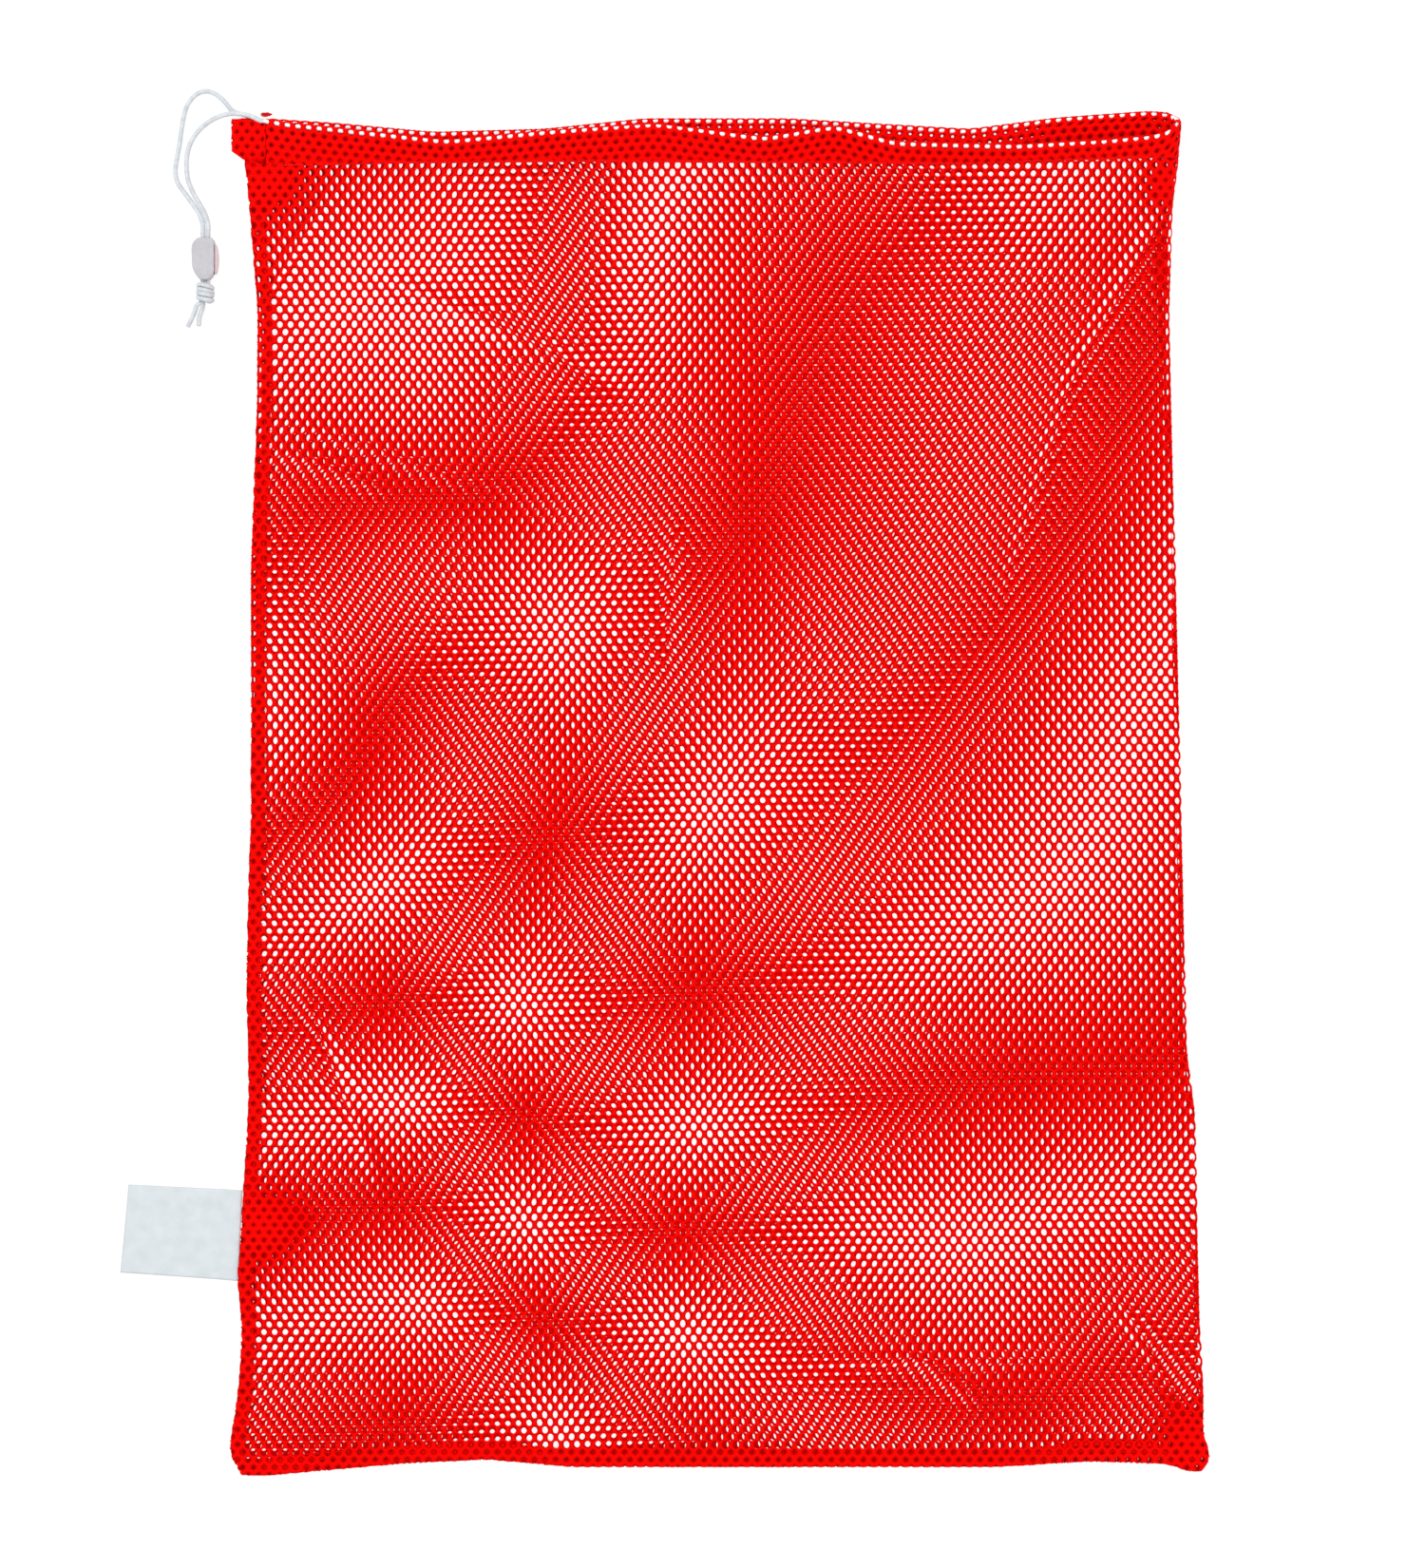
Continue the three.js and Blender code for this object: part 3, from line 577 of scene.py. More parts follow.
# ---------- knitted mesh with real holes ----------
def perforated(columns, rows, hole, place, keep, thickness=STRAND_THICKNESS, growth=None):
    """Arrays of a sheet of knitted mesh over the given ranges of holes.

    place gives flat points' places, their outward directions and which are cut off at an edge. keep says
    which holes there are, from their flat centres, and growth how much larger than hole each is. A ring of
    points round each hole is shared by both faces, and the strands rise from it to a ridge on each face.
    """
    half, mid_x, mid_y = PITCH / 2, PITCH / 4, ROW / 2
    high = (half**2 + ROW**2) / (2 * ROW)  # as far from the two holes beside it as from this one
    angle = np.arange(RING) * 2 * math.pi / RING
    ring = np.stack([hole[0] * np.cos(angle), hole[1] * np.sin(angle)], -1)
    ridge = np.array([(half, 0), (mid_x, mid_y), (-mid_x, mid_y), (0, high), (0, -high)])
    east, north_east, north_west, top, bottom = range(RING, RING + 5)
    under = len(ridge)
    local = np.vstack([ring, ridge, ridge])
    per_hole = len(local)

    column, row = np.meshgrid(np.arange(columns[0] - 1, columns[1] + 2), np.arange(rows[0] - 1, rows[1] + 2))
    centre = np.stack([(column + 0.5 * (row % 2)) * PITCH, row * ROW], -1)
    across = column.shape[1]
    base = (np.arange(column.size) * per_hole).reshape(column.shape)
    kept = keep(centre.reshape(-1, 2)).reshape(column.shape)
    kept[[0, -1], :] = False
    kept[:, [0, -1]] = False

    odd = row % 2
    right, left = per_hole * odd, per_hole * (odd - 1)
    above, below = per_hole * across, -per_hole * across
    rim = np.stack([
        base + east, base + above + right + bottom, base + north_east, base + top, base + north_west,
        base + above + left + bottom, base - per_hole + east, base + below + left + top,
        base + below + left + north_east, base + bottom, base + below + right + north_west,
        base + below + right + top,
    ], -1)[kept]
    inner = base[kept][:, None] + np.arange(RING)

    size = np.ones(column.size) if growth is None else growth(centre.reshape(-1, 2))
    offsets = np.tile(local, (column.size, 1, 1))
    offsets[:, :RING] *= size[:, None, None]
    flat = (centre.reshape(-1, 1, 2) + offsets).reshape(-1, 2)
    wanted = np.unique(np.concatenate([rim.ravel(), rim.ravel() + under, inner.ravel()]))
    number = np.full(len(flat), -1)
    number[wanted] = np.arange(len(wanted))
    rim, inner, lower_rim = number[rim], number[inner], number[rim + under]
    points, outward, cut = place(flat[wanted])
    part = wanted % per_hole
    on_ring = part < RING
    on_top = ~on_ring & (part < RING + under)
    junction = ~on_ring & ((part - RING) % under >= 3)
    side = np.where(on_ring, 0, np.where(on_top, 1, -1))
    points = points + outward * (side * np.where(junction, 1.15, 1.0) * thickness / 2)[:, None]

    following = np.roll(np.arange(RING), -1)
    upper = np.stack([inner, rim, rim[:, following], inner[:, following]], -1).reshape(-1, 4)
    lower = np.stack([inner[:, following], lower_rim[:, following], lower_rim, inner], -1).reshape(-1, 4)
    kept_faces = ~cut[upper].all(1)
    upper, lower = upper[kept_faces], lower[kept_faces]
    opposite = np.arange(len(points))
    opposite[rim.ravel()] = lower_rim.ravel()
    faces = np.vstack([upper, lower, edge_walls(upper, opposite, on_ring)])
    attributes = {"along": np.where(on_ring, (part + 1) % 2, ~junction), "across": ~on_ring}
    return drop_unused(points, faces, attributes)


def edge_walls(upper, opposite, on_ring):
    """Faces that close a perforated sheet between its two faces, wherever the upper one ends."""
    edges = np.stack([upper, np.roll(upper, -1, 1)], -1).reshape(-1, 2)
    edges = edges[~on_ring[edges].all(1)]
    key = edges[:, 0] * len(opposite) + edges[:, 1]
    reverse = edges[:, 1] * len(opposite) + edges[:, 0]
    a, b = edges[~np.isin(reverse, key)].T
    quads = np.stack([b, a, opposite[a], opposite[b]], -1)
    start_on_ring = on_ring[a]
    quads[start_on_ring] = np.stack([a, opposite[b], b, a], -1)[start_on_ring]
    return quads


def drop_unused(points, faces, attributes):
    numbers, faces = np.unique(faces, return_inverse=True)
    return points[numbers], faces.reshape(-1, 4), {key: value[numbers] for key, value in attributes.items()}


def crease_pull(x, y):
    """How far a crease draws the cloth beside it in, across the crease."""
    pull = np.zeros((len(x), 2))
    for x0, y0, x1, y1, rise, half_width in CREASES:
        aside, strength, ax, ay = beside_crease(x, y, x0, y0, x1, y1)
        across = aside / half_width
        draw = -CREASE_PULL * rise * across * np.exp(-(across**2)) * strength
        pull += draw[:, None] * np.array([-ay, ax])
    return pull


def turn_under(inside, radius):
    """Bends a layer round an edge: gives the new distance inside it, the share of the drop and the angle."""
    past = np.maximum(radius - inside, 0)
    angle = np.minimum(past / radius, math.pi)
    turned = radius * (1 - np.sin(angle)) + np.maximum(past - math.pi * radius, 0)
    return np.where(inside > radius, inside, turned), (1 - np.cos(angle)) / 2, angle


def body_layer(height, hem_edge, is_back):
    """One of the bag's two layers, laid out inside the outline and up to its hem's stitching.

    Each layer turns in at the two seams. At the fold the front one runs on round it, under the bag, where it
    meets the back one.
    """
    radius = BACK_TURN if is_back else FRONT_TURN
    turned = math.pi * radius + TURNED_IN

    def top_at(x):
        return along(hem_edge, x) - UNDER_HEM

    def fold_radius(y):
        return mix(FOLD_TURN, MOUTH_TURN, smoothstep(y, STITCH_Y - MOUTH_BLEND, STITCH_Y) ** 2)

    def spots(flat):
        if not is_back:
            return flat + crease_pull(flat[:, 0], flat[:, 1])
        spot = flat.copy()
        for _ in range(4):
            spot = flat + layer_shift(spot)
        return spot

    def place(flat):
        spot = spots(flat)
        y = np.minimum(spot[:, 1], top_at(spot[:, 0]))
        left, right = left_at(y), right_at(y)
        fold = fold_radius(y)
        fold_end = right - BACK_SHORT if is_back else right + math.pi * fold + TURNED_IN
        x = np.clip(spot[:, 0], left - turned, fold_end)
        bottom = bottom_at(np.clip(x, left, right))
        y = np.maximum(y, bottom - turned)
        cut = np.abs(x - spot[:, 0]) + np.abs(y - spot[:, 1]) > 1e-6

        from_left, left_drop, left_angle = turn_under(x - left, radius)
        from_bottom, bottom_drop, bottom_angle = turn_under(y - bottom, radius)
        x, y = left + from_left, bottom + from_bottom
        fold_angle = np.zeros(len(flat))
        fold_drop = np.zeros(len(flat))
        if not is_back:
            from_right, fold_drop, fold_angle = turn_under(right - x, fold)
            x = np.where(fold_angle > 0, right - from_right, x)
        level = height(np.clip(x, left + radius, right - fold), np.maximum(y, bottom + radius))
        seam_drop = np.maximum(left_drop, bottom_drop)
        z = mix(level, SEAM_TURNED_Z[is_back], seam_drop)
        z = mix(z, np.minimum(z, FOLD_UNDER_Z), fold_drop)

        steep = np.maximum(left_angle, bottom_angle)
        aside = np.stack([
            np.sin(fold_angle) - np.sin(left_angle) * (left_drop >= bottom_drop),
            -np.sin(bottom_angle) * (bottom_drop > left_drop),
            np.cos(np.maximum(steep, fold_angle)),
        ], -1)
        outward = aside / np.maximum(np.linalg.norm(aside, axis=1), 1e-9)[:, None]
        if is_back:
            outward[:, :2] *= -1
        return as_seen(np.stack([x, y, z], -1)), outward, cut

    def keep(flat):
        x, y = spots(flat).T
        past_fold = -BACK_SHORT if is_back else math.pi * fold_radius(y) + TURNED_IN
        beside = (x > left_at(y) - turned - 2.6) & (x < right_at(y) + past_fold + 2.6)
        return beside & (y > bottom_at(x) - turned - 3) & (y < top_at(x) + 3)

    def growth(flat):
        x, y = spots(flat).T
        past_left = x - left_at(y) - ALLOWANCE_WIDTH["left"]
        past_bottom = y - bottom_at(x) - ALLOWANCE_WIDTH["bottom"]
        pressed = 1 - smoothstep(np.minimum(past_left, past_bottom), -2, 2)
        at_edge = (1 - smoothstep(x - left_at(y), 2.5, 5)) * side_inset(y) / SIDE_INSET
        closed = ALLOWANCE_CLOSING * pressed * (1 - 0.8 * at_edge)
        for gather_x, gather_y, reach in GATHERS:
            nearness = np.exp(-((x - gather_x) ** 2 + (y - gather_y) ** 2) / reach**2)
            closed = np.maximum(closed, GATHER_CLOSING * nearness)
        return 1 - closed

    return perforated((-50, 54), (-96, 92), HOLE, place, keep, growth=growth)


# ---------- the hem ----------
def hem_line():
    """The hem's run round the mouth: reach, x, z, outward x, outward z and the height of its top."""
    front_x = np.arange(HEM_LEFT, HEM_TURN_X, HEM_STEP)
    rise = rounded(front_x - left_at(STITCH_Y - 1), MOUTH_LEFT_RUN)
    front_z = mix(EDGE_THICKNESS, FULL_THICKNESS, rise) - HEM_FRONT_BELOW
    bend = np.linspace(0, math.pi, 13)
    turn_x = HEM_TURN_X + HEM_TURN_RADIUS * np.sin(bend)
    turn_z = FOLD_TURN_Z + HEM_TURN_RADIUS * np.cos(bend)
    turn_top = mix(along(FRONT_HEM_TOP, turn_x), along(BACK_HEM_TOP, turn_x), bend / math.pi)
    back_x = front_x[::-1]
    x = np.concatenate([front_x, turn_x, back_x])
    z = np.concatenate([front_z, turn_z, np.full(len(back_x), HEM_BACK_Z)])
    out_x = np.concatenate([0 * front_x, np.sin(bend), 0 * back_x])
    out_z = np.concatenate([0 * front_x + 1, np.cos(bend), 0 * back_x - 1])
    top = np.concatenate([along(FRONT_HEM_TOP, front_x), turn_top, along(BACK_HEM_TOP, back_x)])
    along_x, along_z = np.abs(np.diff(x)), np.abs(np.diff(z))
    on_turn = along_x < HEM_STEP * 0.9
    reach = np.append(0, np.cumsum(along_x + along_z * on_turn))
    return reach, x, z, out_x, out_z, top


hem_stations = hem_line()
HEM_REACH = hem_stations[0][-1]


def hem_point(reach, out, y):
    """A point of the hem at a reach along it, out from the middle of its band."""
    x, z, out_x, out_z = (np.interp(reach, hem_stations[0], column) for column in hem_stations[1:5])
    return as_seen(np.stack([x + out_x * out, y + 0 * x, z + out_z * out], -1))


def hem_top(reach):
    return np.interp(reach, hem_stations[0], hem_stations[5])


def hem_low(reach):
    turn = HEM_TURN_X - HEM_LEFT
    x = np.interp(reach, hem_stations[0], hem_stations[1])
    back_share = smoothstep(reach, turn, turn + math.pi * HEM_TURN_RADIUS)
    return mix(along(FRONT_HEM_LOW, x), along(BACK_HEM_LOW, x), back_share)


def hem_cloth():
    """The cloth's top edge folded over the drawcord: a row of holes lies along the fold itself."""
    quarter = HEM_RADIUS * math.pi / 2

    def roll(reach):
        facing = np.interp(reach, hem_stations[0], hem_stations[4])
        return facing * (2.7 + 0.5 * np.sin(reach / 62 + 0.8) + 0.3 * np.sin(reach / 23))

    def place(flat):
        over = flat[:, 1] + roll(flat[:, 0])
        side = np.sign(over)
        down = np.abs(over)
        slip = np.where(side < 0, PITCH / 2, 0.0) * smoothstep(down, 3, 9)
        reach = np.clip(flat[:, 0] + slip, 0, HEM_REACH)
        down = down - np.where(side < 0, 1.6, 0.0) * smoothstep(down, 3, 9)
        top = hem_top(reach)
        straight_run = top - HEM_RADIUS - hem_low(reach)
        angle = np.minimum(down, quarter) / HEM_RADIUS
        straight = np.maximum(down - quarter, 0)
        cut = (straight > straight_run) | (reach != flat[:, 0] + slip)
        straight = np.minimum(straight, straight_run)
        narrow = mix(HEM_RADIUS, HEM_PINCH, smoothstep(straight / straight_run, 0.1, 1))
        out = side * np.where(down < quarter, HEM_RADIUS * np.sin(angle), narrow)
        y = top - HEM_RADIUS + np.where(down < quarter, HEM_RADIUS * np.cos(angle), -straight)
        points = hem_point(reach, out, y)
        out_x, out_z = (np.interp(reach, hem_stations[0], column) for column in hem_stations[3:5])
        sideways, upward = side * np.sin(angle), np.cos(angle)
        outward = np.stack([out_x * sideways, upward, out_z * sideways], -1)
        return points, outward, cut

    def keep(flat):
        inside = (flat[:, 0] > -2.5 - PITCH / 2) & (flat[:, 0] < HEM_REACH + 2.5)
        deepest = hem_top(flat[:, 0]) - hem_low(flat[:, 0]) + quarter + 4
        return inside & (np.abs(flat[:, 1] + roll(flat[:, 0])) < deepest)

    def growth(flat):
        return mix(FOLD_HOLE_GROWTH, 1, smoothstep(np.abs(flat[:, 1]), 1, 5))

    columns = (-2, int(HEM_REACH / PITCH) + 2)
    return perforated(columns, (-8, 7), HEM_HOLE, place, keep, growth=growth)


def hem_stitches(first, last):
    """A line of lockstitch through the hem's bottom edge, thread dipping into the cloth between stitches."""
    reach = np.arange(first, last, HEM_STITCH / 6)
    height = HEM_PINCH + STRAND_THICKNESS / 2 + 0.25 * np.cos(2 * math.pi * reach / HEM_STITCH)
    edge = hem_low(reach) + 0.8
    line = hem_point(reach, height, edge)
    under = hem_point(reach, -height, edge)
    return join_arrays([tube_arrays(line, 0.22, 6), tube_arrays(under, 0.22, 6)])


# ---------- seams ----------
def bottom_inset(x):
    """The bottom allowance drifts away from the seam for a stretch near the fold."""
    return BOTTOM_INSET * smoothstep(x, 225, 245) * (1 - smoothstep(x, 290, 305))


def side_inset(y):
    """The side allowance keeps a little off the seam over the upper part of the bag."""
    return SIDE_INSET * smoothstep(y, 20, 120) * (1 - smoothstep(y, 398, 412))


def beside_seam(side, run, distance):
    """The place a distance in from the left seam or the bottom seam."""
    if side == "left":
        return left_at(run) + distance, run
    return run, bottom_at(run) + distance


def seam_strip(side, inset, below, offset):
    """One layer of seam allowance inside the bag, beside the left seam or the bottom seam."""
    low, high = (-446, STITCH_Y - 2) if side == "left" else (-305, 322)
    width = ALLOWANCE_WIDTH[side]

    def run_and_depth(flat):
        along_x, along_y = flat.T
        return (along_y, along_x + offset) if side == "left" else (along_x, along_y + offset)

    def place(flat):
        flat_run, flat_depth = run_and_depth(flat)
        run = np.clip(flat_run, low, high)
        depth = np.clip(flat_depth, 0, width)
        cut = (run != flat_run) | (depth == 0) | (depth == width)
        wave = 0.2 * np.sin(run / 13 + offset) * np.sin(depth / 4)
        if side == "left":
            x, y = beside_seam(side, run, inset + mix(side_inset(run), width, depth / width))
        else:
            x, y = beside_seam(side, run, inset + bottom_inset(run) + depth)
        points = as_seen(np.stack([x, y, front_height(x, y) - below + wave], -1))
        outward = np.zeros((len(flat), 3))
        outward[:, 2] = 1
        return points, outward, cut

    def keep(flat):
        run, depth = run_and_depth(flat)
        return (run > low - 3) & (run < high + 3) & (depth > -2.6) & (depth < width + 2.6)

    columns, rows = ((-3, 4), (-90, 86)) if side == "left" else ((-46, 48), (-4, 5))
    return perforated(columns, rows, ALLOWANCE_HOLE, place, keep, 0.6)


def overlock(side):
    """Overlock stitching over the allowance's raw edge: a needle line with loops thrown round the edge."""
    low, high = (-437, STITCH_Y - 4) if side == "left" else (-303, 322)
    # A loop of thread: share of the stitch's length, share of its width, height over the middle.
    loop = np.array([
        (0, 0, 0.5), (0.15, 0.5, 0.75), (0.3, 1, 0.3), (0.5, 1.05, 0), (0.7, 1, -0.3), (0.85, 0.5, -0.75)])
    start = np.repeat(np.arange(low, high, OVERLOCK_STITCH), len(loop))
    share, depth, rise = np.tile(loop, (len(start) // len(loop), 1)).T
    run = start + share * OVERLOCK_STITCH
    across = ALLOWANCE_WIDTH[side] + OVERLOCK_PAST_EDGE - OVERLOCK_WIDTH * (1 - depth)
    x, y = beside_seam(side, run, across if side == "left" else bottom_inset(run) + across)
    middle = front_height(x, y) - OVERLOCK_BELOW_FRONT
    line = as_seen(np.stack([x, y, middle + rise], -1))
    needle = as_seen(np.stack([x, y, middle + NEEDLE_RISE], -1))[:: len(loop)]
    return join_arrays([tube_arrays(line, 0.2, 5), tube_arrays(needle, 0.2, 5)])


def corner_tab(inner):
    """The hem's folded cloth end at the side seam, wrapped round itself."""
    low_edge = [(-323, 429), (-314.6, 423), (-309, 420.5), (-300, 420)]
    high_edge = [(-323, 450), (-313, 450.6), (-304, 449.5), (-299, 450)]
    thickness = [(-323, 5), (-312, 7), (-299, 10.2)]
    left, right = -323 + inner, -299.2
    shrink = 1.1 * inner
    radius = 2.0

    def place(flat):
        x = np.clip(flat[:, 0], left, right)
        top = np.interp(x, *np.array(high_edge).T) - shrink
        room = top - radius - np.interp(x, *np.array(low_edge).T)
        full = np.interp(x, *np.array(thickness).T) / 2 - STRAND_THICKNESS / 2 - shrink
        half = full * np.sqrt(1 - (1 - np.clip((x - left) / 4, 0, 1)) ** 2) + 0.01
        down, side = np.abs(flat[:, 1]), np.sign(flat[:, 1])
        quarter = radius * math.pi / 2
        angle = np.minimum(down, quarter) / radius
        straight = np.clip(down - quarter, 0, room)
        cut = (x != flat[:, 0]) | (down - quarter > room)
        pinch = mix(1, 0.35, smoothstep(straight / room, 0.6, 1))
        middle = full + STRAND_THICKNESS / 2 + shrink
        z = middle + side * half * np.where(down < quarter, np.sin(angle), pinch)
        y = top - radius + np.where(down < quarter, radius * np.cos(angle), -straight)
        outward = np.stack([0 * x, np.cos(angle), side * np.sin(angle)], -1)
        return np.stack([x, y, z], -1), outward, cut

    def keep(flat):
        inside = (flat[:, 0] > left - 2.5) & (flat[:, 0] < right + 2.5)
        return inside & (np.abs(flat[:, 1]) < 30)

    return perforated((-48, -40), (-7, 7), TAB_HOLE, place, keep)


def thread_tuft():
    """Loose ends of red thread where the sewing finished: small loops thrown close together."""
    middle = np.array([-298.8, 452.2, 9.6])
    parts = []
    for i in range(9):
        turn = np.linspace(0, 1.6 * math.pi, 14) + i * 2.1
        reach = 1.5 + 0.5 * math.sin(i * 1.7)
        lean = 0.45 + 0.3 * math.sin(i * 2.3)
        line = middle + np.stack([
            (reach + 0.9) * np.cos(turn) + 0.25 * (i - 4),
            lean * reach * np.sin(turn) + 0.2 * math.cos(i),
            0.6 * reach * np.sin(turn + i),
        ], -1)
        parts.append(tube_arrays(catmull_rom(line, 0.35), 0.3, 6))
    return join_arrays(parts)


# ---------- the drawcord ----------
def braid(reach, angle):
    """The small diamonds of a braided cover, as a change of radius."""
    pitch = 2.4
    a = np.sin(4 * angle + 2 * math.pi * reach / pitch)
    b = np.sin(4 * angle - 2 * math.pi * reach / pitch)
    return 0.07 * (np.maximum(a, b) - 0.6)


def cord_piece(name, line, sides=20, relief=braid):
    return make_object(name, *tube_arrays(line, CORD_DIAMETER / 2, sides, relief))


def knot():
    """An overhand knot in both cords together: they run down its middle, wrap round twice and leave below."""
    middle = Vector((-340, 333.5, 5))
    parts = []
    for side, lift, tail in ((-1, 0.0, BACK_TAIL[0]), (1, 3.3, FRONT_TAIL[0])):
        tail_start = Vector(tail) - middle
        route = [
            (1.75 * side, 9.5, 0), (1.7 * side, 6, 0), (1.2 * side, 0, -0.2),
            (1.8, -4.8 + lift * 0.4, -1.2), (4.6, -4.6 + lift, 0.2), (2.6, -4.6 + lift, 2.9),
            (-1.2, -3.9 + lift, 3.4), (-4.4, -3 + lift, 1.4), (-4.6, -2 + lift, -1),
            (-1.6, -1.2 + lift, -3.1), (2.4, -0.6 + lift, -3), (4.7, 0.2 + lift, -0.4),
            (3.4, 1 + lift, 2.5), (0, 1.9 + lift, 3.4), (-3.6, 2.7 + lift, 2.1),
            (-4.5, 2 + lift * 0.6, -0.6), (-3.2, -1.5 + lift * 0.4, -2.2), (-1.6, -4.5, -1.8),
            tuple(tail_start),
        ]
        line = catmull_rom([Vector(p) + middle for p in route], 0.5)
        parts.append(tube_arrays(line, CORD_DIAMETER / 2 * 0.98, 16, braid))
    return join_arrays(parts)


# ---------- the label ----------
def label_sheet():
    """A soft white label that lies beside the bag, its root right beside the side seam."""
    root = np.array([(-318.3, -325.5), (-315.5, -265)])
    free = np.array([(-397.3, -320), (-391.6, -261)])
    columns, rows, half = 56, 42, 0.2
    u, v = np.meshgrid(np.linspace(0, 1, columns), np.linspace(0, 1, rows), indexing="ij")
    seam = mix(root[0], root[1], v[..., None])
    spot = mix(seam, mix(free[0], free[1], v[..., None]), u[..., None])
    run = np.linalg.norm(spot - seam, axis=-1)
    root_height, lying_height, wave_height, corner_rise = 2.1, 0.3, 0.96, 1.4
    lift = mix(root_height, lying_height, smoothstep(run, 0, 16))
    wave = 0.5 * (1 + np.sin(run / 11 + v * 2.3)) * smoothstep(run, 6, 30) * (0.35 + 0.65 * v)
    corner = smoothstep(u, 0.8, 1) * smoothstep(v, 0.7, 1)
    z = lift + wave_height * wave + corner_rise * corner
    top = np.dstack([spot, z + half])
    bottom = np.dstack([spot, z - half])
    points = np.concatenate([top.reshape(-1, 3), bottom.reshape(-1, 3)])
    i, j = np.meshgrid(np.arange(columns - 1), np.arange(rows - 1), indexing="ij")
    a = i * rows + j
    upper = np.stack([a, a + rows, a + rows + 1, a + 1], -1).reshape(-1, 4)
    count = columns * rows
    lower = upper[:, ::-1] + count
    rim = np.concatenate([np.arange(0, count, rows), count - rows + np.arange(1, rows),
                          np.arange(count - 1 - rows, 0, -rows), np.arange(rows - 2, 0, -1)])
    nxt = np.roll(rim, -1)
    walls = np.stack([nxt, rim, rim + count, nxt + count], -1)
    return points, np.vstack([upper, lower, walls])


# ---------- the spring in the lock ----------
LOCK = Vector((-340, 356.3, 5))
SPRING_START, SPRING_END, SPRING_RADIUS, SPRING_TURNS = -7.4, -5.1, 2.1, 1.75


def spring_coil():
    t = np.linspace(0, 1, 120)
    angle = 2 * math.pi * SPRING_TURNS * t
    line = np.stack([
        LOCK.x + mix(SPRING_START, SPRING_END, t),
        LOCK.y + SPRING_RADIUS * np.cos(angle),
        LOCK.z + SPRING_RADIUS * np.sin(angle),
    ], -1)
    return tube_arrays(line, 0.2, 10)


# ---------- build ----------
set_camera()

cord_white = elastic_cord("elastic_cord", linear(180, 186, 191), linear(213, 217, 221))
# The cord's run inside the hem gets a lighter copy of the cord's colours: painted light that makes up for the
# shade inside the hem.
cord_painted_bright = elastic_cord("elastic_cord_in_hem_painted_light", linear(235, 236, 238), linear(250, 250, 252))
back_line = catmull_rom(BACK_STRAND, 0.4)
front_line = catmull_rom(FRONT_STRAND, 0.4)
back_strand = cord_piece("drawcord_back_free", back_line)
front_strand = cord_piece("drawcord_front_free", front_line)
tail_front = cord_piece("cord_tail_front_end", catmull_rom(FRONT_TAIL, 0.4))
tail_back = cord_piece("cord_tail_back_end", catmull_rom(BACK_TAIL, 0.4))
tied_knot = make_object("overhand_knot", *knot())
hem_reach = np.linspace(4, HEM_REACH - 4, 600)
hem_cord_line = np.vstack([
    front_line[:1], hem_point(hem_reach, 0.0, hem_top(hem_reach) - HEM_RADIUS - 0.1), back_line[:1]])
hem_cord = cord_piece("drawcord_in_hem_run", catmull_rom(hem_cord_line[::6], 1.2), 12, None)

set_stage()

cloth_red = mesh_cloth("mesh_cloth_red", (0.95, 0.0012, 0.0), (0.82, 0.0004, 0.0))
thread_red = sewing_thread()

front = make_object("front_mesh", *body_layer(front_height, FRONT_HEM_LOW, False))
back = make_object("back_mesh", *body_layer(back_height, BACK_HEM_LOW, True))
hem = make_object("hem_mesh", *hem_cloth())
tab = make_object("corner_tab_cloth", *join_arrays([corner_tab(0), corner_tab(0.9), corner_tab(1.8)]))
side_lower = make_object("side_allowance_lower", *seam_strip("left", 0.8, below=1.65, offset=1.7))
side_upper = make_object("side_allowance_upper", *seam_strip("left", 1.2, below=0.9, offset=4.6))
bottom_lower = make_object("bottom_allowance_lower", *seam_strip("bottom", 1.0, below=1.65, offset=1.2))
bottom_upper = make_object("bottom_allowance_upper", *seam_strip("bottom", 1.6, below=0.9, offset=3.6))
side_overlock = make_object("side_overlock", *overlock("left"))
bottom_overlock = make_object("bottom_overlock", *overlock("bottom"))
turn_reach = HEM_TURN_X - HEM_LEFT
front_stitch = make_object("front_stitch_row", *hem_stitches(2, turn_reach - 2))
back_stitch = make_object("back_stitch_row", *hem_stitches(turn_reach + 24, HEM_REACH - 2))
tuft = make_object("thread_tuft", *thread_tuft())
label = make_object("blank_label", *label_sheet())
spring = make_object("lock_spring_coil", *spring_coil())

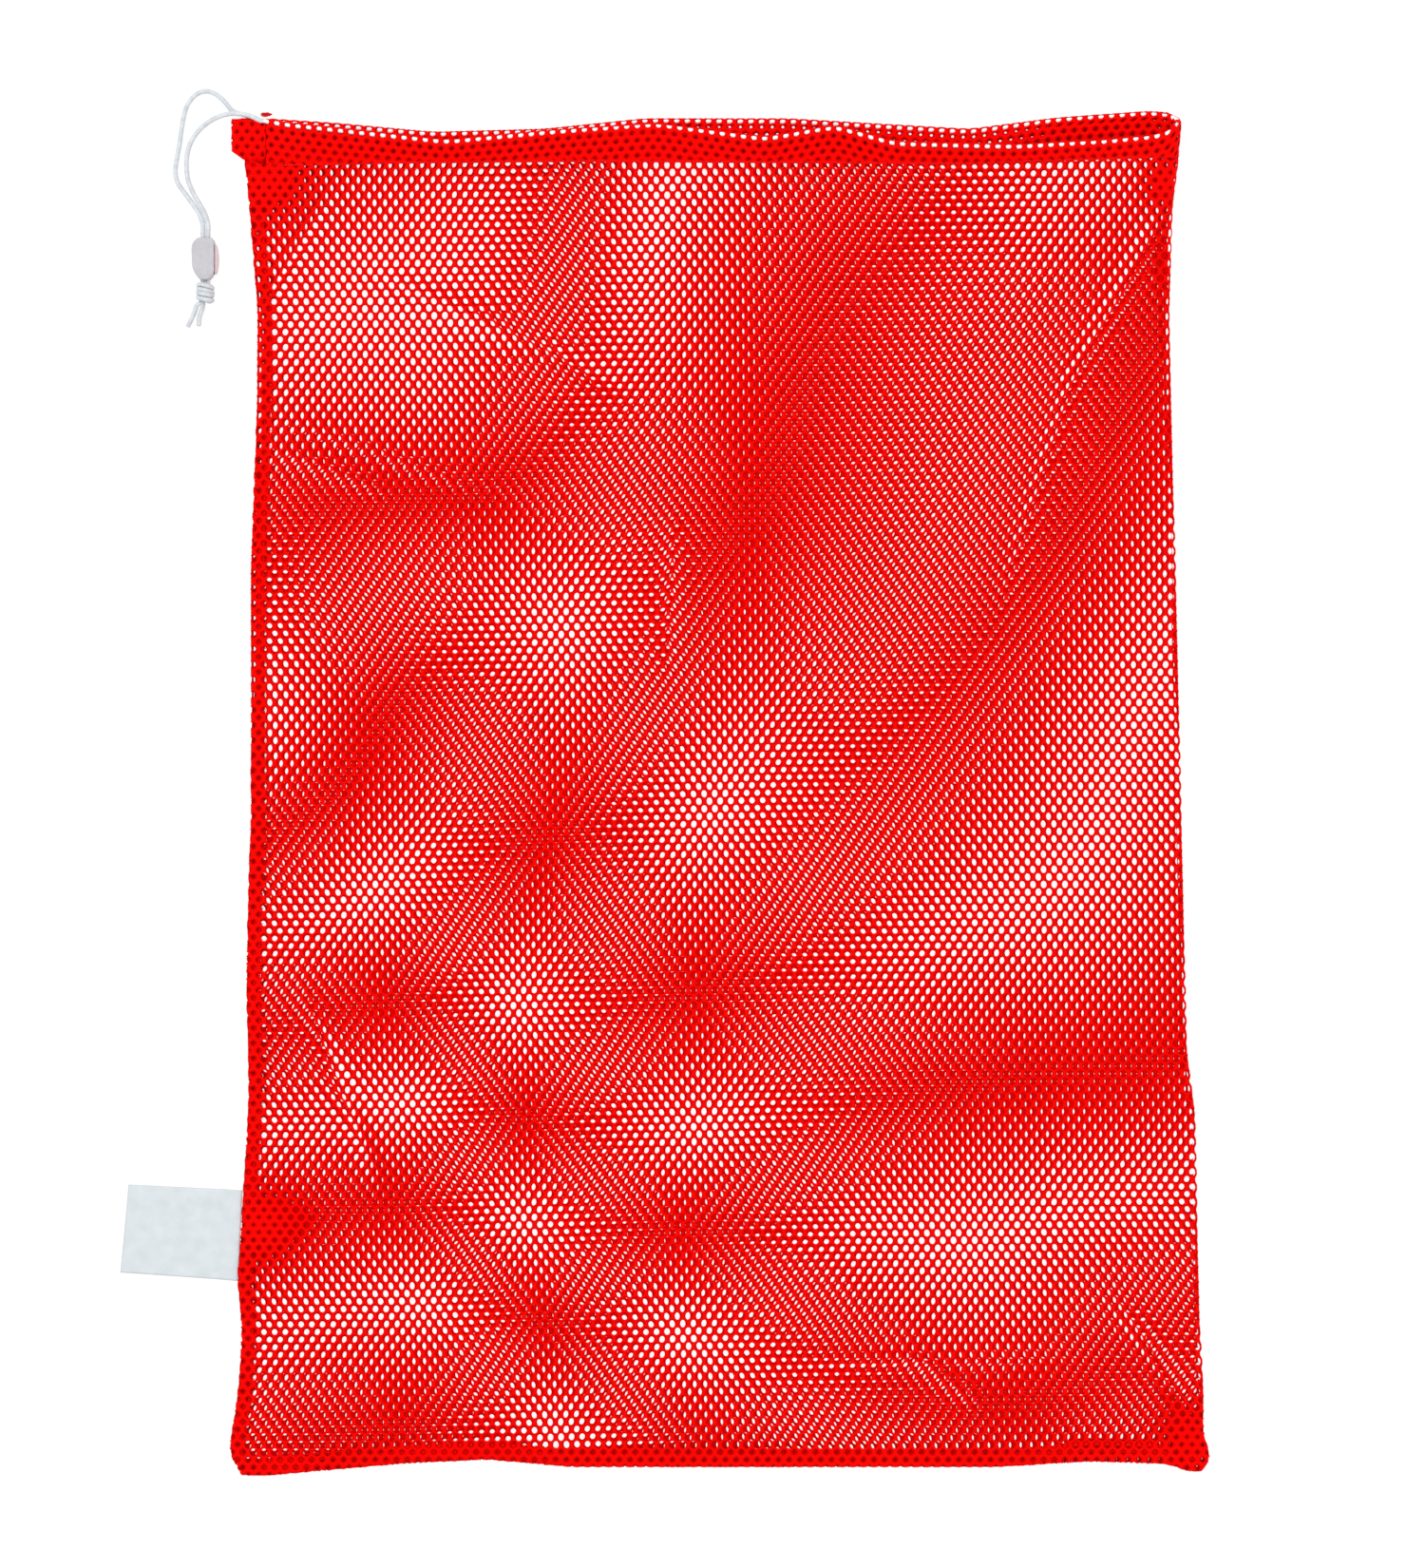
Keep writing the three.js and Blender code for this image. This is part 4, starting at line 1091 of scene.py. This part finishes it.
for pieces, material, slot, body, nodes in (
    ([front, back], cloth_red, "mesh_cloth", "bag", ["mesh_body"]),
    ([hem], cloth_red, "mesh_cloth", "bag", ["hem_casing"]),
    ([tab], cloth_red, "mesh_cloth", "bag", ["corner_tab"]),
    ([side_lower, side_upper], cloth_red, "mesh_cloth", "bag", ["side_seam_allowance"]),
    ([bottom_lower, bottom_upper], cloth_red, "mesh_cloth", "bag", ["bottom_seam_allowance"]),
    ([side_overlock], thread_red, "sewing_thread", "bag", ["side_overlock_thread"]),
    ([bottom_overlock], thread_red, "sewing_thread", "bag", ["bottom_overlock_thread"]),
    ([front_stitch], thread_red, "sewing_thread", "bag", ["front_hem_stitch"]),
    ([back_stitch], thread_red, "sewing_thread", "bag", ["back_hem_stitch"]),
    ([tuft], thread_red, "sewing_thread", "bag", []),
    ([hem_cord], cord_painted_bright, "elastic_cord", "bag", ["drawcord_in_hem"]),
    ([front_strand], cord_white, "elastic_cord", "bag", ["drawcord_front_strand"]),
    ([back_strand], cord_white, "elastic_cord", "bag", ["drawcord_back_strand"]),
    ([tied_knot], cord_white, "elastic_cord", "bag", ["cord_knot"]),
    ([tail_front], cord_white, "elastic_cord", "bag", ["cord_tail_front"]),
    ([tail_back], cord_white, "elastic_cord", "bag", ["cord_tail_back"]),
    ([label], label_cloth(), "label_cloth", "label", ["id_label"]),
    ([spring], spring_steel(), "spring_steel", "lock", ["lock_spring"]),
):
    for piece in pieces:
        piece.data.materials.append(material)
        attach(piece, body)
        if nodes:
            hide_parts(*nodes)

for name, material in (
    ("lock_body", moulded_plastic("lock_plastic", linear(172, 170, 176), linear(184, 182, 187), 0.38)),
    # The button's pale grey plastic is its own colour; its pink tint is painted reflection of the red bag's
    # light on it.
    ("lock_button", moulded_plastic("button_plastic", linear(200, 172, 176), linear(208, 186, 189), 0.34)),
):
    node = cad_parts[name]
    node.data.materials.clear()
    node.data.materials.append(material)
    bevel = node.modifiers.new("soft_edges", "BEVEL")
    bevel.width = 0.0003
    bevel.segments = 3
    bevel.limit_method = "ANGLE"

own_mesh(spring)
